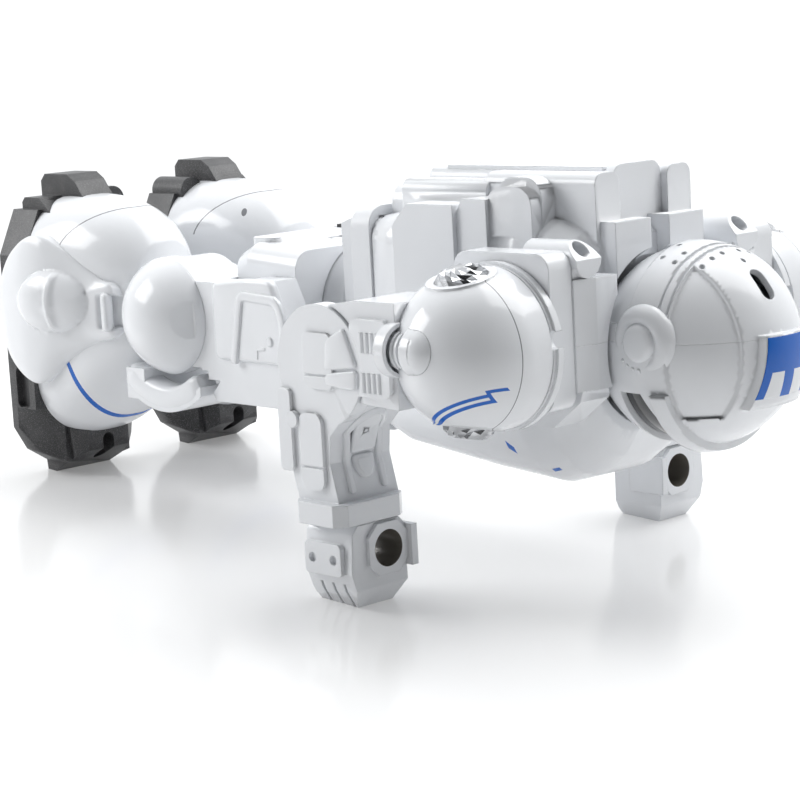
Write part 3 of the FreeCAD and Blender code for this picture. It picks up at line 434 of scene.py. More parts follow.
def beam(path: np.ndarray, up: Point, half_width: float, height: float, columns: int = 12) -> Shape:
    """Carry a soft square section along a path: path + w c(a) side + h s(a) up, with c and s the square
    roots of |cos| and |sin| by sign. It shrinks over three rows past each end, so that the ends round.

    Args:
        path: the points that it follows.
        up: the direction of its height.
        half_width: half its width.
        height: how far it stands to each side of the path along up.
        columns: points round the section.

    Returns:
        The shape.
    """
    along = np.gradient(path, axis=0)
    along = along / np.linalg.norm(along, axis=1, keepdims=True)
    sideways = np.cross(along, up)
    sideways = sideways / np.linalg.norm(sideways, axis=1, keepdims=True)
    turn = np.linspace(0.0, 2 * np.pi, columns, endpoint=False)
    wide, tall = (np.sign(wave) * np.sqrt(np.abs(wave)) for wave in (np.cos(turn), np.sin(turn)))
    ends = np.array([0.35, 0.75, 0.95])
    back = half_width * np.array([0.0, 0.15, 0.5])
    size = np.concatenate([ends, np.ones(len(path)), ends[::-1]])
    rows = np.concatenate([path[0] - along[0] * (half_width - back)[:, None], path,
                           path[-1] + along[-1] * (half_width - back[::-1])[:, None]])
    pick = np.clip(np.arange(len(rows)) - len(ends), 0, len(path) - 1)
    offset = (sideways[pick][:, None] * wide[None, :, None] * half_width
              + np.array(up) * tall[None, :, None] * height)
    return wrapped(rows[:, None] + offset * size[:, None, None])


def softened(corners: np.ndarray, radius: float, closed: bool = True) -> np.ndarray:
    """Round an outline's corners: each corner c becomes (1 - m)^2 a + 2 m (1 - m) c + m^2 b, where a and b
    lie a radius before and after it on its sides.

    Args:
        corners: the corners, in order.
        radius: how far from its corner each curve starts.
        closed: whether the last side runs back to the first corner.

    Returns:
        The outline's points.
    """
    before = np.roll(corners, 1, axis=0) - corners
    after = np.roll(corners, -1, axis=0) - corners
    start = corners + before / np.linalg.norm(before, axis=1, keepdims=True) * radius
    end = corners + after / np.linalg.norm(after, axis=1, keepdims=True) * radius
    mix = np.linspace(0.0, 1.0, CORNER_STEPS)[None, :, None]
    arcs = start[:, None] * (1 - mix) ** 2 + 2 * corners[:, None] * mix * (1 - mix) + end[:, None] * mix ** 2
    if closed:
        return arcs.reshape(-1, corners.shape[1])
    return np.concatenate([corners[:1], arcs[1:-1].reshape(-1, corners.shape[1]), corners[-1:]])


def flowing(points: np.ndarray, steps: int) -> np.ndarray:
    """Run a smooth closed curve through points: the cubic between two of them whose slope at each is half
    the way from the point before it to the point after it.

    Args:
        points: what it goes through, in order.
        steps: how many points each stretch gets.

    Returns:
        The curve's points.
    """
    before, here, after, later = (np.roll(points, turn, axis=0)[:, None] for turn in (1, 0, -1, -2))
    mix = np.linspace(0.0, 1.0, steps, endpoint=False)[None, :, None]
    curve = (2 * here + (after - before) * mix + (2 * before - 5 * here + 4 * after - later) * mix ** 2
             + (3 * here - before - 3 * after + later) * mix ** 3) / 2
    return curve.reshape(-1, points.shape[1])


def pillow(outline: np.ndarray, corner: float, height: float, crown: float) -> np.ndarray:
    """Raise a pad with rounded corners and rim: each ring is the outline drawn in towards its middle by
    0.6 h (1 - cos), at a height of h (0.4 + 0.6 sin). Three more rings carry the crown to the middle.

    Args:
        outline: the corners, in order.
        corner: the corners' radius.
        height: how far its rim stands out.
        crown: how much its middle stands over its rim.

    Returns:
        Rings of points: the outline's two coordinates and the height.
    """
    edge = softened(outline, corner)
    middle = edge.mean(axis=0)
    reach = np.linalg.norm(edge - middle, axis=1).mean()
    rim = np.linspace(0.0, np.pi / 2, 5)
    drawn_in = np.concatenate([[0.0], height * 0.6 * (1 - np.cos(rim)), reach * np.array([0.3, 0.6, 0.9])])
    lift = np.concatenate([[0.0], height * (0.4 + 0.6 * np.sin(rim)),
                           height + crown * np.array([0.5, 0.85, 1.0])])
    ring = middle + (edge - middle) * (1 - drawn_in / reach)[:, None, None]
    return np.concatenate([ring, np.broadcast_to(lift[:, None, None], (*ring.shape[:2], 1))], axis=-1)


def sideways_pad(rings: np.ndarray, base: float) -> Shape:
    """Set a pad on the robot's left: x and z from its outline, y = base + height."""
    return wrapped(spots(rings[..., 0], base + rings[..., 2], rings[..., 1]))


def sheeted(outer: np.ndarray, inner: np.ndarray) -> Shape:
    """Close two grids of the same size into one thin plate, with walls round its rim.

    Args:
        outer: the outer face's points, as rows by columns by 3.
        inner: the inner face's points.

    Returns:
        The shape.
    """
    rows, columns = outer.shape[:2]
    index = np.arange(rows * columns).reshape(rows, columns)
    quads = np.stack([index[:-1, :-1], index[1:, :-1], index[1:, 1:], index[:-1, 1:]], axis=-1).reshape(-1, 4)
    rim = np.concatenate([index[0, :-1], index[:-1, -1], index[-1, :0:-1], index[:0:-1, 0]])
    after = np.roll(rim, -1)
    far = rows * columns
    walls = np.stack([rim, after, after + far, rim + far], axis=-1)
    faces = np.concatenate([quads, quads[:, ::-1] + far, walls]).tolist()
    return Shape(np.concatenate([outer.reshape(-1, 3), inner.reshape(-1, 3)]), faces)


# ---- Frame and meshes ----
@dataclass(frozen=True)
class Spine:
    """The pitched frame that the robot's straight body is drawn in."""

    origin: np.ndarray

    @classmethod
    def of(cls, frame: Mapping[str, Any]) -> "Spine":
        """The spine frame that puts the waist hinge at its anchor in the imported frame."""
        anchor = next(joint["pos_m"] for joint in frame["joints"] if joint["name"] == "waist_bend")
        return cls(np.array(anchor, float) - cls.turn(np.array([BEND_MM]) * MM)[0])

    @staticmethod
    def turn(points: np.ndarray) -> np.ndarray:
        """Pitch points about y: x' = x cos - z sin and z' = x sin + z cos."""
        x, y, z = points.T
        return spots(x * math.cos(PITCH) - z * math.sin(PITCH), y, x * math.sin(PITCH) + z * math.cos(PITCH))

    def world(self, points: np.ndarray) -> np.ndarray:
        """Take spine millimetres to metres in the row's frame."""
        return self.turn(np.asarray(points, float) * MM) + self.origin

    def shift(self) -> Point:
        """The millimetres that a Mapping node adds after its turn to reach spine coordinates."""
        x, y, z = self.origin / MM
        return (-x * math.cos(PITCH) - z * math.sin(PITCH), -y, x * math.sin(PITCH) - z * math.cos(PITCH))


def placed(name: str, data: Any) -> bpy.types.Object:
    """Put a new object in the scene."""
    made = bpy.data.objects.new(name, data)
    bpy.context.scene.collection.objects.link(made)
    return made


class Bench:
    """Makes meshes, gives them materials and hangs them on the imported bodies."""

    def __init__(self, frame: Mapping[str, Any], spine: Spine) -> None:
        """Keep the frame and start with no materials."""
        self.frame = frame
        self.spine = spine
        self.materials: dict[str, bpy.types.Material] = {}
        self.bodies = {node: body for body, nodes in frame["record"]["behaviour"]["bodies"].items()
                       for node in nodes}

    def finish(self, finish: Finish) -> bpy.types.Material:
        """The material of a finish, built once."""
        if finish.name not in self.materials:
            self.materials[finish.name] = finish.material(self.spine.shift())
        return self.materials[finish.name]

    def slot(self, node: str) -> str:
        """The record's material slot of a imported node."""
        return self.frame["nodes"][node].data.materials[0].name

    def hang(self, name: str, mesh: bpy.types.Mesh, node: str, finish: Finish,
             sharp: float) -> bpy.types.Object:
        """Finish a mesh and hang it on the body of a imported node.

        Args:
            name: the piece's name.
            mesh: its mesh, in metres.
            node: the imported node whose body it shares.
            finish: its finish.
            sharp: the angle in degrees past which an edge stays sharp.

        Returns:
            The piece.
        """
        mesh.shade_smooth()
        mesh.set_sharp_from_angle(angle=math.radians(sharp))
        mesh.materials.append(self.finish(finish))
        piece = placed(name, mesh)
        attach(piece, self.bodies[node])
        LOG.info("%s: %d faces on %s, %s", name, len(mesh.polygons), self.bodies[node], finish.name)
        return piece

    def formed(self, name: str, shape: Shape, node: str, finish: Finish, sharp: float = CREASE,
               replaces: bool = False) -> None:
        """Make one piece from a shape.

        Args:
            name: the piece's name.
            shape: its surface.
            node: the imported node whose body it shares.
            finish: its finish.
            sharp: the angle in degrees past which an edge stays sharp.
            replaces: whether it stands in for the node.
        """
        mesh = bpy.data.meshes.new(name)
        mesh.from_pydata(self.spine.world(shape.points).tolist(), [], shape.faces)
        mesh.validate()
        shell = bmesh.new()
        shell.from_mesh(mesh)
        bmesh.ops.recalc_face_normals(shell, faces=shell.faces)
        shell.to_mesh(mesh)
        shell.free()
        piece = self.hang(name, mesh, node, finish, sharp)
        if replaces:
            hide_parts(node)

    def moulded(self, node: str, finish: Finish) -> None:
        """Stand a merged, smooth-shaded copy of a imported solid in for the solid.

        Args:
            node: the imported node.
            finish: its finish.
        """
        copy = bmesh.new()
        copy.from_mesh(self.frame["nodes"][node].data)
        bmesh.ops.remove_doubles(copy, verts=copy.verts, dist=WELD * MM)
        bmesh.ops.dissolve_limit(copy, angle_limit=math.radians(FLAT), verts=copy.verts, edges=copy.edges)
        mesh = bpy.data.meshes.new(f"{node}_moulding")
        copy.to_mesh(mesh)
        copy.free()
        mesh.materials.clear()
        piece = self.hang(f"{node}_moulding", mesh, node, finish, CREASE)
        even = piece.modifiers.new("flat faces stay flat", "WEIGHTED_NORMAL")
        even.weight = 100
        even.keep_sharp = True
        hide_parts(node)


# ---- Studio ----
@dataclass(frozen=True)
class Lamp:
    """A rectangular soft light aimed at the robot."""

    name: str
    place: Point
    size: Pair
    watts: float
    aim: Point = (0.0, 0.0, 0.08)

    def hang(self) -> None:
        """Put the light in the scene, facing the robot's middle."""
        data = bpy.data.lights.new(self.name, "AREA")
        data.shape = "RECTANGLE"
        data.size, data.size_y = self.size
        data.energy = self.watts
        lamp = placed(self.name, data)
        lamp.location = self.place
        lamp.rotation_euler = (Vector(self.aim) - Vector(self.place)).to_track_quat("-Z", "Y").to_euler()


@dataclass(frozen=True)
class Studio:
    """White glossy floor, white surroundings, soft lights and the camera."""

    floor_half: float = 14.0  # metres
    floor_white: float = 0.7
    floor_glow: float = 0.19
    floor_gloss: Pair = (0.13, 0.17)  # the least and most roughness
    camera_place: Point = (0.66897, -0.6526, 0.2602)
    camera_azimuth: float = 46.0  # degrees
    camera_drop: float = 12.6  # degrees below level
    camera_lens: float = 108.0  # millimetres
    camera_sensor: float = 36.0  # millimetres
    camera_clip: Pair = (0.02, 60.0)
    tent_light: float = 1.22
    tent_tint: Colour = (0.975, 0.99, 1.0)
    tent_fall: Pair = (0.85, 1.15)  # light below the floor's edge and overhead
    opening_rise: float = 0.25
    opening_span: Pair = (-0.05, 0.65)  # cosines between which the tent grows dark
    opening_light: float = 0.05
    lamps: tuple[Lamp, ...] = (
        Lamp("top light", (0.2, 0.5, 1.0), (1.0, 0.9), 10.5),
        Lamp("side light", (-0.5, -0.45, 0.4), (0.4, 0.3), 2.4),
    )

    def build(self) -> None:
        """Build the floor, lights, surroundings and camera."""
        self.floor()
        for lamp in self.lamps:
            lamp.hang()
        self.surroundings()
        self.camera()

    def floor(self) -> None:
        """Lay a white acrylic floor that mirrors the robot softly."""
        half = self.floor_half
        mesh = bpy.data.meshes.new("floor")
        corners = [(-half, -half, 0), (half, -half, 0), (half, half, 0), (-half, half, 0)]
        mesh.from_pydata(corners, [], [(0, 1, 2, 3)])
        floor = placed("floor", mesh)
        sheet = Sheet.named("white acrylic floor")
        rough = sheet.noise(6.0, 2.0).ramp(0.3, 0.7, *self.floor_gloss)
        white, glow = (self.floor_white,) * 3, (1.0, 1.0, 1.0)
        mesh.materials.append(sheet.surface(Base_Color=white, Roughness=rough, Emission_Color=glow,
                                            Emission_Strength=self.floor_glow))

    def surroundings(self) -> None:
        """Surround the set with a white tent whose open side, behind the camera, is dark."""
        world = bpy.data.worlds.new("white tent")
        sheet = Sheet(world)
        way = sheet.node("ShaderNodeTexCoord", {}, {}, "Generated")
        turn = math.radians(self.camera_azimuth)
        towards = (math.sin(turn), -math.cos(turn), self.opening_rise)
        product = {"operation": "DOT_PRODUCT"}
        opening = sheet.node("ShaderNodeVectorMath", product, {0: way, 1: towards}, "Value")
        height = Wire(sheet, sheet.node("ShaderNodeSeparateXYZ", {}, {0: way}).socket.node.outputs["Z"])
        light = opening.ramp(*self.opening_span, 1.0, self.opening_light)
        strength = light * height.ramp(-0.2, 1.0, *self.tent_fall) * self.tent_light
        backdrop = sheet.node("ShaderNodeBackground", {}, {"Color": self.tent_tint, "Strength": strength})
        sheet.end("ShaderNodeOutputWorld", backdrop)
        bpy.context.scene.world = world
        bpy.context.scene.view_settings.view_transform = "Standard"

    def camera(self) -> None:
        """Place the camera."""
        data = bpy.data.cameras.new("camera")
        data.lens = self.camera_lens
        data.sensor_width = self.camera_sensor
        data.clip_start, data.clip_end = self.camera_clip
        camera = placed("camera", data)
        turn, drop = math.radians(self.camera_azimuth), math.radians(self.camera_drop)
        sight = Vector((-math.sin(turn) * math.cos(drop), math.cos(turn) * math.cos(drop), -math.sin(drop)))
        camera.location = self.camera_place
        camera.rotation_euler = sight.to_track_quat("-Z", "Y").to_euler()
        bpy.context.scene.camera = camera


# ---- Printed marks and painted shade ----
# Each takes the wires of the spine coordinates, in millimetres, and gives 1 on its mark and 0 elsewhere.
def dome_stripes(x: Wire, y: Wire, z: Wire) -> Wire:
    """Two slanted stripes under each shoulder lens, joined at their front end.

    Args:
        x: the spine coordinates' x.
        y: their y.
        z: their z.

    Returns:
        1 on the stripes.
    """
    along = x - 138.5
    across = (z - 0.5 - along * 0.429 - (abs(y) - 74.0) * 0.205 + 23.8) / 1.106
    span = along.between(-18.0, 20.8)
    lines = across.between(-0.45, 0.45).most(across.between(-2.1, -1.2)) * span
    bridge = along.between(20.5, 21.4) * across.between(-2.1, 1.5)
    tail = along.between(21.2, 24.8) * across.between(0.6, 1.5)
    return lines.most(bridge).most(tail) * abs(y).over(66.0)


def dome_joint(x: Wire, y: Wire, z: Wire) -> Wire:
    """The thin joint round the head's end of each shoulder dome."""
    return abs(abs(y) - 80.5).under(0.2) * x.over(150.0)


def boot_stripe(x: Wire, y: Wire, z: Wire) -> Wire:
    """A bowed stripe across the front of each boot: x + 106.3 + 0.0105 (z + 48) squared near 0."""
    rise = z + 48.0
    return abs(x + 106.3 + rise * rise * 0.0105).under(1.2) * z.under(-22.0)


def boot_seam(x: Wire, y: Wire, z: Wire) -> Wire:
    """The thin joint over each instep: x + 94.2 + 0.0275 (|y| - 37) squared near 0, and a round dot of painted
    shade where the screw hole is.

    Args:
        x: the spine coordinates' x.
        y: their y.
        z: their z.

    Returns:
        1 in the joint and in the hole's painted shade.
    """
    across = abs(y) - 37.0
    joint = abs(x + 94.2 + across * across * 0.0275).under(0.32) * z.over(24.0)
    # the round dot below is painted shade standing in for the shadowed screw hole
    along, beside = x + 92.3, abs(y) - 20.0
    return joint.most((along * along + beside * beside).under(1.6) * z.over(24.0))


def chest_marks(x: Wire, y: Wire, z: Wire) -> Wire:
    """Four small bars on the chest: an outer pair that slants and an inner pair."""
    slanted = (abs(y) + (x - 115.4) * 0.4).between(34.1, 36.0) * x.between(113.8, 117.0)
    return slanted.most(abs(x - 129.6).under(1.85) * abs(abs(y) - 26.4).under(0.9)) * z.under(-34.0)


def crest_tabs(x: Wire, y: Wire, z: Wire) -> Wire:
    """The white tabs that reach up into the crest's blue panel from its lower edge."""
    outer = 8.4 - (z + 11.3) * 0.16
    return abs(y).over(2.6) * abs(y).under(outer) * z.under(-11.3)


def grip_wall(x: Wire, y: Wire, z: Wire) -> Wire:
    """Painted shade: the inside of each fist's grip hole, darkened where the hole's own shade falls."""
    beside, rise = abs(y) - 81.0, z + 72.6
    return (beside * beside + rise * rise).under(46.0)


# ---- Finishes in use ----
INK: Colour = (0.0, 0.115, 0.52)
# dark grey of the joints between shells, also used as painted shade for the boots' screw holes
JOINT_AND_HOLE_SHADE: Colour = (0.22, 0.225, 0.24)
MOULDING: Colour = (0.80, 0.815, 0.84)
WHITE = Plastic("glossy white moulding", MOULDING, 0.16)
DOME_WHITE = Plastic("glossy white dome with stripes", MOULDING, 0.13,
                     prints=((dome_stripes, INK), (dome_joint, JOINT_AND_HOLE_SHADE)))
# the boot carries a printed stripe, a dark joint and a dot of painted shade for its screw hole
BOOT_WHITE = Plastic("glossy white boot with stripe and painted hole shade", MOULDING, 0.16,
                     prints=((boot_stripe, INK), (boot_seam, JOINT_AND_HOLE_SHADE)))
CHEST_WHITE = Plastic("glossy white chest with bars", MOULDING, 0.16, prints=((chest_marks, INK),))
# the grip hole's wall is painted a dark warm grey as shade inside the hole
FIST_WHITE = Plastic("glossy white fist with painted hole shade", MOULDING, 0.18, prints=((grip_wall, (0.15, 0.138, 0.12)),))
SATIN = Plastic("satin white moulding", (0.76, 0.775, 0.80), 0.34, peel=0.00004, peel_scale=900.0)
BLUE = Plastic("blue printed panel", INK, 0.2, prints=((crest_tabs, MOULDING),))
SMOKE = Plastic("dark visor", (0.02, 0.021, 0.024), 0.06, coat=0.6)
SHADOW = Grain("black inner moulding", (0.02, 0.02, 0.022), (0.05, 0.05, 0.052), 0.5)
SOLE = Grain("dark speckled sole", (0.028, 0.028, 0.03), (0.16, 0.16, 0.165), 0.42)
RUBBER = Grain("soft black roller", (0.02, 0.02, 0.02), (0.06, 0.06, 0.06), 0.6)
STEEL = Bright("polished steel pin", (0.62, 0.62, 0.63), 0.18)
CRYSTAL = Bright("plated crystal", (0.6, 0.61, 0.63), 0.16)
WRAP = Plastic("green cell sleeve", (0.03, 0.16, 0.06), 0.3)

SLOTS: dict[str, Finish] = {
    "white_shell": WHITE, "white_satin": SATIN, "sole_dark": SOLE, "wheel_rubber": RUBBER, "blue_print": BLUE,
    "visor_dark": SMOKE, "lens_clear": CRYSTAL, "pin_steel": STEEL, "inner_black": SHADOW, "cell_wrap": WRAP}


# ---- Sub-assemblies ----
@dataclass
class Assembly:
    """What every sub-assembly shares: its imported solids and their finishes."""

    bench: Bench

    def mould(self, *nodes: str, side: Union[Side, None] = None, finish: Union[Finish, None] = None) -> None:
        """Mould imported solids, those of one side if it is given, in a finish or else in their slots' own."""
        for node in (f"{node}_{side.ending}" if side else node for node in nodes):
            self.bench.moulded(node, finish or SLOTS[self.bench.slot(node)])

    def fit(self, side: Side, name: str, shape: Shape, node: str, finish: Finish = WHITE, **how: Any) -> None:
        """Make one side's piece from a shape drawn on the left; name and node get the side's ending."""
        self.bench.formed(f"{name}_{side.ending}", shape.on(side), f"{node}_{side.ending}", finish, **how)


@dataclass
class Head(Assembly):
    """The helmet with its crest, visor and ears."""

    centre: Point = (176.0, 0.0, -4.6)
    crest_radius: float = 39.75
    crest_depth: float = 0.5
    crest_rise: Pair = (0.9, -20.4)
    crest_half: Pair = (10.1, 13.1)
    crest_grid: tuple[int, int] = (41, 33)
    ear: Point = (178.5, 0.0, 0.2)
    ear_profile: Outline = (
        (0.4, 24.0), (12.8, 24.0), (13.1, 26.0), (13.2, 31.0), (13.1, 32.4), (12.6, 33.5), (11.6, 34.6),
        (10.8, 35.2), (10.0, 35.6), (9.2, 35.9), (8.4, 36.0), (7.6, 35.8), (7.1, 35.4), (6.8, 35.5),
        (6.6, 36.0), (6.3, 36.7), (5.6, 37.4), (4.6, 37.8), (2.5, 38.0), (0.4, 38.0))
    rib_turns: tuple[float, ...] = (222.0, 238.0, 254.0, 270.0)  # degrees round the ear
    rib_span: Pair = (9.3, 12.3)
    rib_slope: Outline = ((9.2, 35.9), (10.0, 35.6), (11.6, 34.6), (12.5, 33.6))  # the ear's rim under them
    rib_section: Pair = (0.75, 0.7)

    def build(self) -> None:
        """Build the head's pieces."""
        self.mould("helmet_back_shell", "helmet_front_shell", "visor", "neck_shaft", "head_speaker")
        self.crest()
        for side in Side:
            self.ear_disc(side)

    def crest(self) -> None:
        """Lay the crest's blue panel on the head's sphere: y = u (a + (b - a) v), x from the sphere."""
        across = np.linspace(-1.0, 1.0, self.crest_grid[0])[None, :]
        down = np.linspace(0.0, 1.0, self.crest_grid[1])[:, None]
        y = across * (self.crest_half[0] + (self.crest_half[1] - self.crest_half[0]) * down)
        z = self.crest_rise[0] + (self.crest_rise[1] - self.crest_rise[0]) * down
        sheets = []
        for radius in (self.crest_radius, self.crest_radius - self.crest_depth):
            x = self.centre[0] + np.sqrt(radius ** 2 - y ** 2 - (z - self.centre[2]) ** 2)
            sheets.append(spots(x, y, z))
        self.bench.formed("crest_blue_panel", sheeted(*sheets), "crest_panel", BLUE, replaces=True)

    def ear_disc(self, side: Side) -> None:
        """Turn one ear, with its button, groove and short ribs."""
        shape = lathe(self.ear, self.ear_profile, 72)
        reach = np.linspace(*self.rib_span, 5)
        fall = np.interp(reach, *np.array(self.rib_slope).T)
        for angle in np.radians(self.rib_turns):
            path = spots(self.ear[0] + reach * np.cos(angle), fall, self.ear[2] + reach * np.sin(angle))
            shape = shape.joined(beam(path, OUTWARDS, *self.rib_section))
        self.fit(side, "ear_turning", shape, "ear_disc", replaces=True)


@dataclass
class Torso(Assembly):
    """The chest and back shells with the shoulder plates, pipes, waist rim and drives."""

    def build(self) -> None:
        """Build the torso's pieces."""
        self.mould("torso_back_shell")
        self.mould("torso_chest_shell", finish=CHEST_WHITE)
        self.mould("battery_door", "battery_cells", "neck_gearbox", "waist_rim", "waist_hinge_pin")
        for side in Side:
            self.mould("shoulder_plate", "thruster_pipe", "shoulder_gearbox", side=side)


@dataclass
class Waist(Assembly):
    """The barrel that bends in the torso and the drum that turns in the pelvis."""

    def build(self) -> None:
        """Build the waist's pieces."""
        self.mould("waist_barrel", "waist_drum")


@dataclass
class Pelvis(Assembly):
    """The hips with the power switch, thighs and knee caps."""

    plate: Outline = ((-27.0, -16.5), (-27.0, 14.0), (-8.0, 16.4), (9.0, 16.4), (20.0, -9.0), (20.0, -16.5))
    plate_base: float = 51.6
    plate_height: float = 3.4
    frame: Outline = ((-14.2, -15.6), (-8.6, 10.2), (12.6, 8.8), (16.2, 1.0), (15.2, -12.0))
    frame_size: Pair = (3.6, 1.9)  # its corners' radius and half its width
    hook: Outline = ((4.0, -10.6), (-0.4, -10.9), (-0.6, -14.4))
    hook_size: Pair = (0.6, 0.5)
    boss: Point = (7.6, 0.0, -7.5)
    boss_profile: Outline = ((1.9, -1.0), (1.9, 0.3), (1.5, 0.7), (0.3, 0.8))  # y from the plate's face

    def build(self) -> None:
        """Build the pelvis's pieces."""
        self.mould("pelvis_back_shell", "pelvis_front_shell", "power_switch")
        for side in Side:
            self.mould("thigh", "knee_cap", "knee_pin", side=side)
            self.thigh_frame(side)

    def thigh_frame(self, side: Side) -> None:
        """Lay a plate on the thigh's outer face, with a raised frame open at its foot, a boss and a hook."""
        face = self.plate_base + self.plate_height
        shape = sideways_pad(pillow(np.array(self.plate), 3.0, self.plate_height, 0.05), self.plate_base)
        for outline, (corner, half) in ((self.frame, self.frame_size), (self.hook, self.hook_size)):
            flat = softened(np.array(outline), corner, closed=False)
            shape = shape.joined(beam(spots(flat[:, 0], face, flat[:, 1]), OUTWARDS, half, half * 0.6))
        boss = lathe(self.boss, tuple((radius, face + reach) for radius, reach in self.boss_profile), 24)
        self.fit(side, "thigh_frame", shape.joined(boss), "thigh")


@dataclass
class Leg(Assembly):
    """A lower leg: shin, boot, sole, ankle guard and rollers."""

    side: Side = Side.LEFT
    boot_middle: float = 37.0
    cheek_radius: float = 25.0  # what the knee's cheeks turn in
    tongue: Pair = (27.5, 46.0)  # the y between which the cheeks leave room
    # x, half width, front, back, corner radius at the back, corner radius at the front
    boot_stations: tuple[tuple[float, ...], ...] = (
        (-134.0, 29.0, -57.0, 46.0, 26.0, 26.0), (-120.0, 28.5, -55.0, 46.0, 26.0, 26.0),
        (-104.0, 26.0, -47.0, 44.0, 24.0, 24.0), (-88.0, 21.0, -34.0, 38.0, 20.0, 20.0),
        (-76.0, 14.0, -20.0, 27.0, 13.0, 13.0))
    boot_grid: tuple[int, int] = (48, 15)  # stations along it, and points round each corner
    guard_outline: Outline = (
        (-153.0, -3.0), (-150.5, 11.0), (-141.0, 24.0), (-124.0, 31.5), (-106.0, 22.5), (-92.0, 13.5),
        (-84.2, 9.5), (-84.2, -9.0), (-96.0, -13.5), (-110.0, -20.5), (-128.0, -32.0), (-146.0, -23.0))
    guard_grid: tuple[int, int] = (22, 44)  # points along each stretch of its outline, and rings
    guard_middle: Pair = (-113.0, 1.0)
    guard_base: float = 50.0
    guard_rim: Pair = (69.4, 60.0)  # y at the heel's end and at the knee's end
    guard_slope: Pair = (-136.0, -88.0)  # x where it starts and stops falling
    guard_rise: float = 4.6
    bulge: tuple[float, ...] = (-114.5, 4.0, 18.0, 12.8, 5.8)  # x, z, its two half lengths and its height
    fin: tuple[float, ...] = (-110.5, 1.5, 1.3)  # x, half width, height
    clip: tuple[float, ...] = (-91.0, 6.6, 6.0)  # x of its closed end, half width, depth
    clip_edge: float = 4.0  # how steep its walls are
    roller: tuple[float, ...] = (-87.2, 61.5, 6.0)  # x, y and half length of its middle line
    roller_section: Pair = (2.0, 2.2)
    knee: Point = (-57.5, 52.4, -1.0)
    band_rows: int = 31
    band_radius: float = 33.6
    band_half: Pair = (5.2, 6.0)
    band_turn: Pair = (232.0, 302.0)  # degrees round the knee

    def build(self) -> None:
        """Build the lower leg's pieces."""
        self.mould("shin", "sole", "toe_wheel", "heel_wheel", side=self.side)
        self.boot()
        self.guard()
        self.knee_band()

    def boot(self) -> None:
        """Loft the boot: rounded rectangles whose sizes are the quartics in x through the stations. Points
        that fall in a knee cheek's cylinder move straight out from its axis to its surface."""
        stations = np.array(self.boot_stations)
        x = np.linspace(stations[0, 0], stations[-1, 0], self.boot_grid[0])
        middle = stations[2, 0]
        half, low, high, back, front = (
            np.polyval(np.polyfit(stations[:, 0] - middle, sizes, 4), x - middle)[:, None]
            for sizes in stations[:, 1:].T)
        turn = np.radians(np.linspace(0.0, 90.0, self.boot_grid[1]))[None, :]
        corners = ((half - back, high - back, back, 0.0), (back - half, high - back, back, 0.5),
                   (front - half, low + front, front, 1.0), (half - front, low + front, front, 1.5))
        y = [beside + radius * np.cos(turn + start * np.pi) for beside, _, radius, start in corners]
        z = [rise + radius * np.sin(turn + start * np.pi) for _, rise, radius, start in corners]
        y, z = self.boot_middle + np.concatenate(y, axis=1), np.concatenate(z, axis=1)
        along, rise = x[:, None] - self.knee[0], z - self.knee[2]
        reach = np.hypot(along, rise)
        beside = (y < self.tongue[0]) | (y > self.tongue[1])
        push = np.where(beside & (reach < self.cheek_radius), self.cheek_radius / reach, 1.0)
        shape = wrapped(spots(self.knee[0] + along * push, y, self.knee[2] + rise * push))
        self.fit(self.side, "boot_shell", shape, "boot", BOOT_WHITE, sharp=50.0, replaces=True)

    def guard(self) -> None:
        """Swell the ankle guard: a height over its outline that falls smoothly from heel to knee and rises
        as a quarter circle from rim to middle, plus half an ellipsoid for the bulge, a ridge for the fin,
        less the clip's opening; the clip's roller lies in the opening."""
        edge = flowing(np.array(self.guard_outline), self.guard_grid[0])
        inward = 1 - np.cos(np.linspace(0.0, np.pi / 2, self.guard_grid[1]))[:-1]
        middle = np.array(self.guard_middle)
        flat = edge[None] + (middle - edge)[None] * inward[:, None, None]
        x, z = flat[..., 0], flat[..., 1]
        fall = np.clip((x - self.guard_slope[0]) / (self.guard_slope[1] - self.guard_slope[0]), 0.0, 1.0)
        rim = self.guard_rim[0] + (self.guard_rim[1] - self.guard_rim[0]) * fall ** 2 * (3 - 2 * fall)
        height = rim + self.guard_rise * np.sqrt(1 - (1 - inward) ** 2)[:, None]
        at_x, at_z, long, tall, proud = self.bulge
        inside = np.clip(1 - ((x - at_x) / long) ** 2 - ((z - at_z) / tall) ** 2, 0.0, 1.0)
        fin_x, fin_half, fin_height = self.fin
        ridge = 1 / (1 + ((x - fin_x) / fin_half) ** 6) * np.clip(inside * 4, 0.0, 1.0)
        clip_x, clip_half, clip_depth = self.clip
        opening = (1 / (1 + np.exp((clip_x - x) * self.clip_edge))
                   / (1 + np.exp((abs(z) - clip_half) * self.clip_edge)))
        height = height + proud * np.sqrt(inside) + fin_height * ridge - clip_depth * opening
        shape = wrapped(np.concatenate([spots(x[:1], self.guard_base, z[:1]), spots(x, height, z)]))
        roll_x, roll_y, roll_half = self.roller
        path = np.linspace((roll_x, roll_y, -roll_half), (roll_x, roll_y, roll_half), 9)
        roller = beam(path, OUTWARDS, *self.roller_section)
        self.fit(self.side, "ankle_shell", shape.joined(roller), "ankle_guard", sharp=50.0, replaces=True)

    def knee_band(self) -> None:
        """Bend the band in front of the knee along an arc about the knee's axis."""
        turn = np.radians(np.linspace(*self.band_turn, self.band_rows))
        path = spots(self.knee[0] + self.band_radius * np.cos(turn), self.knee[1],
                     self.knee[2] + self.band_radius * np.sin(turn))
        self.fit(self.side, "knee_band", beam(path, OUTWARDS, *self.band_half, columns=20), "shin")


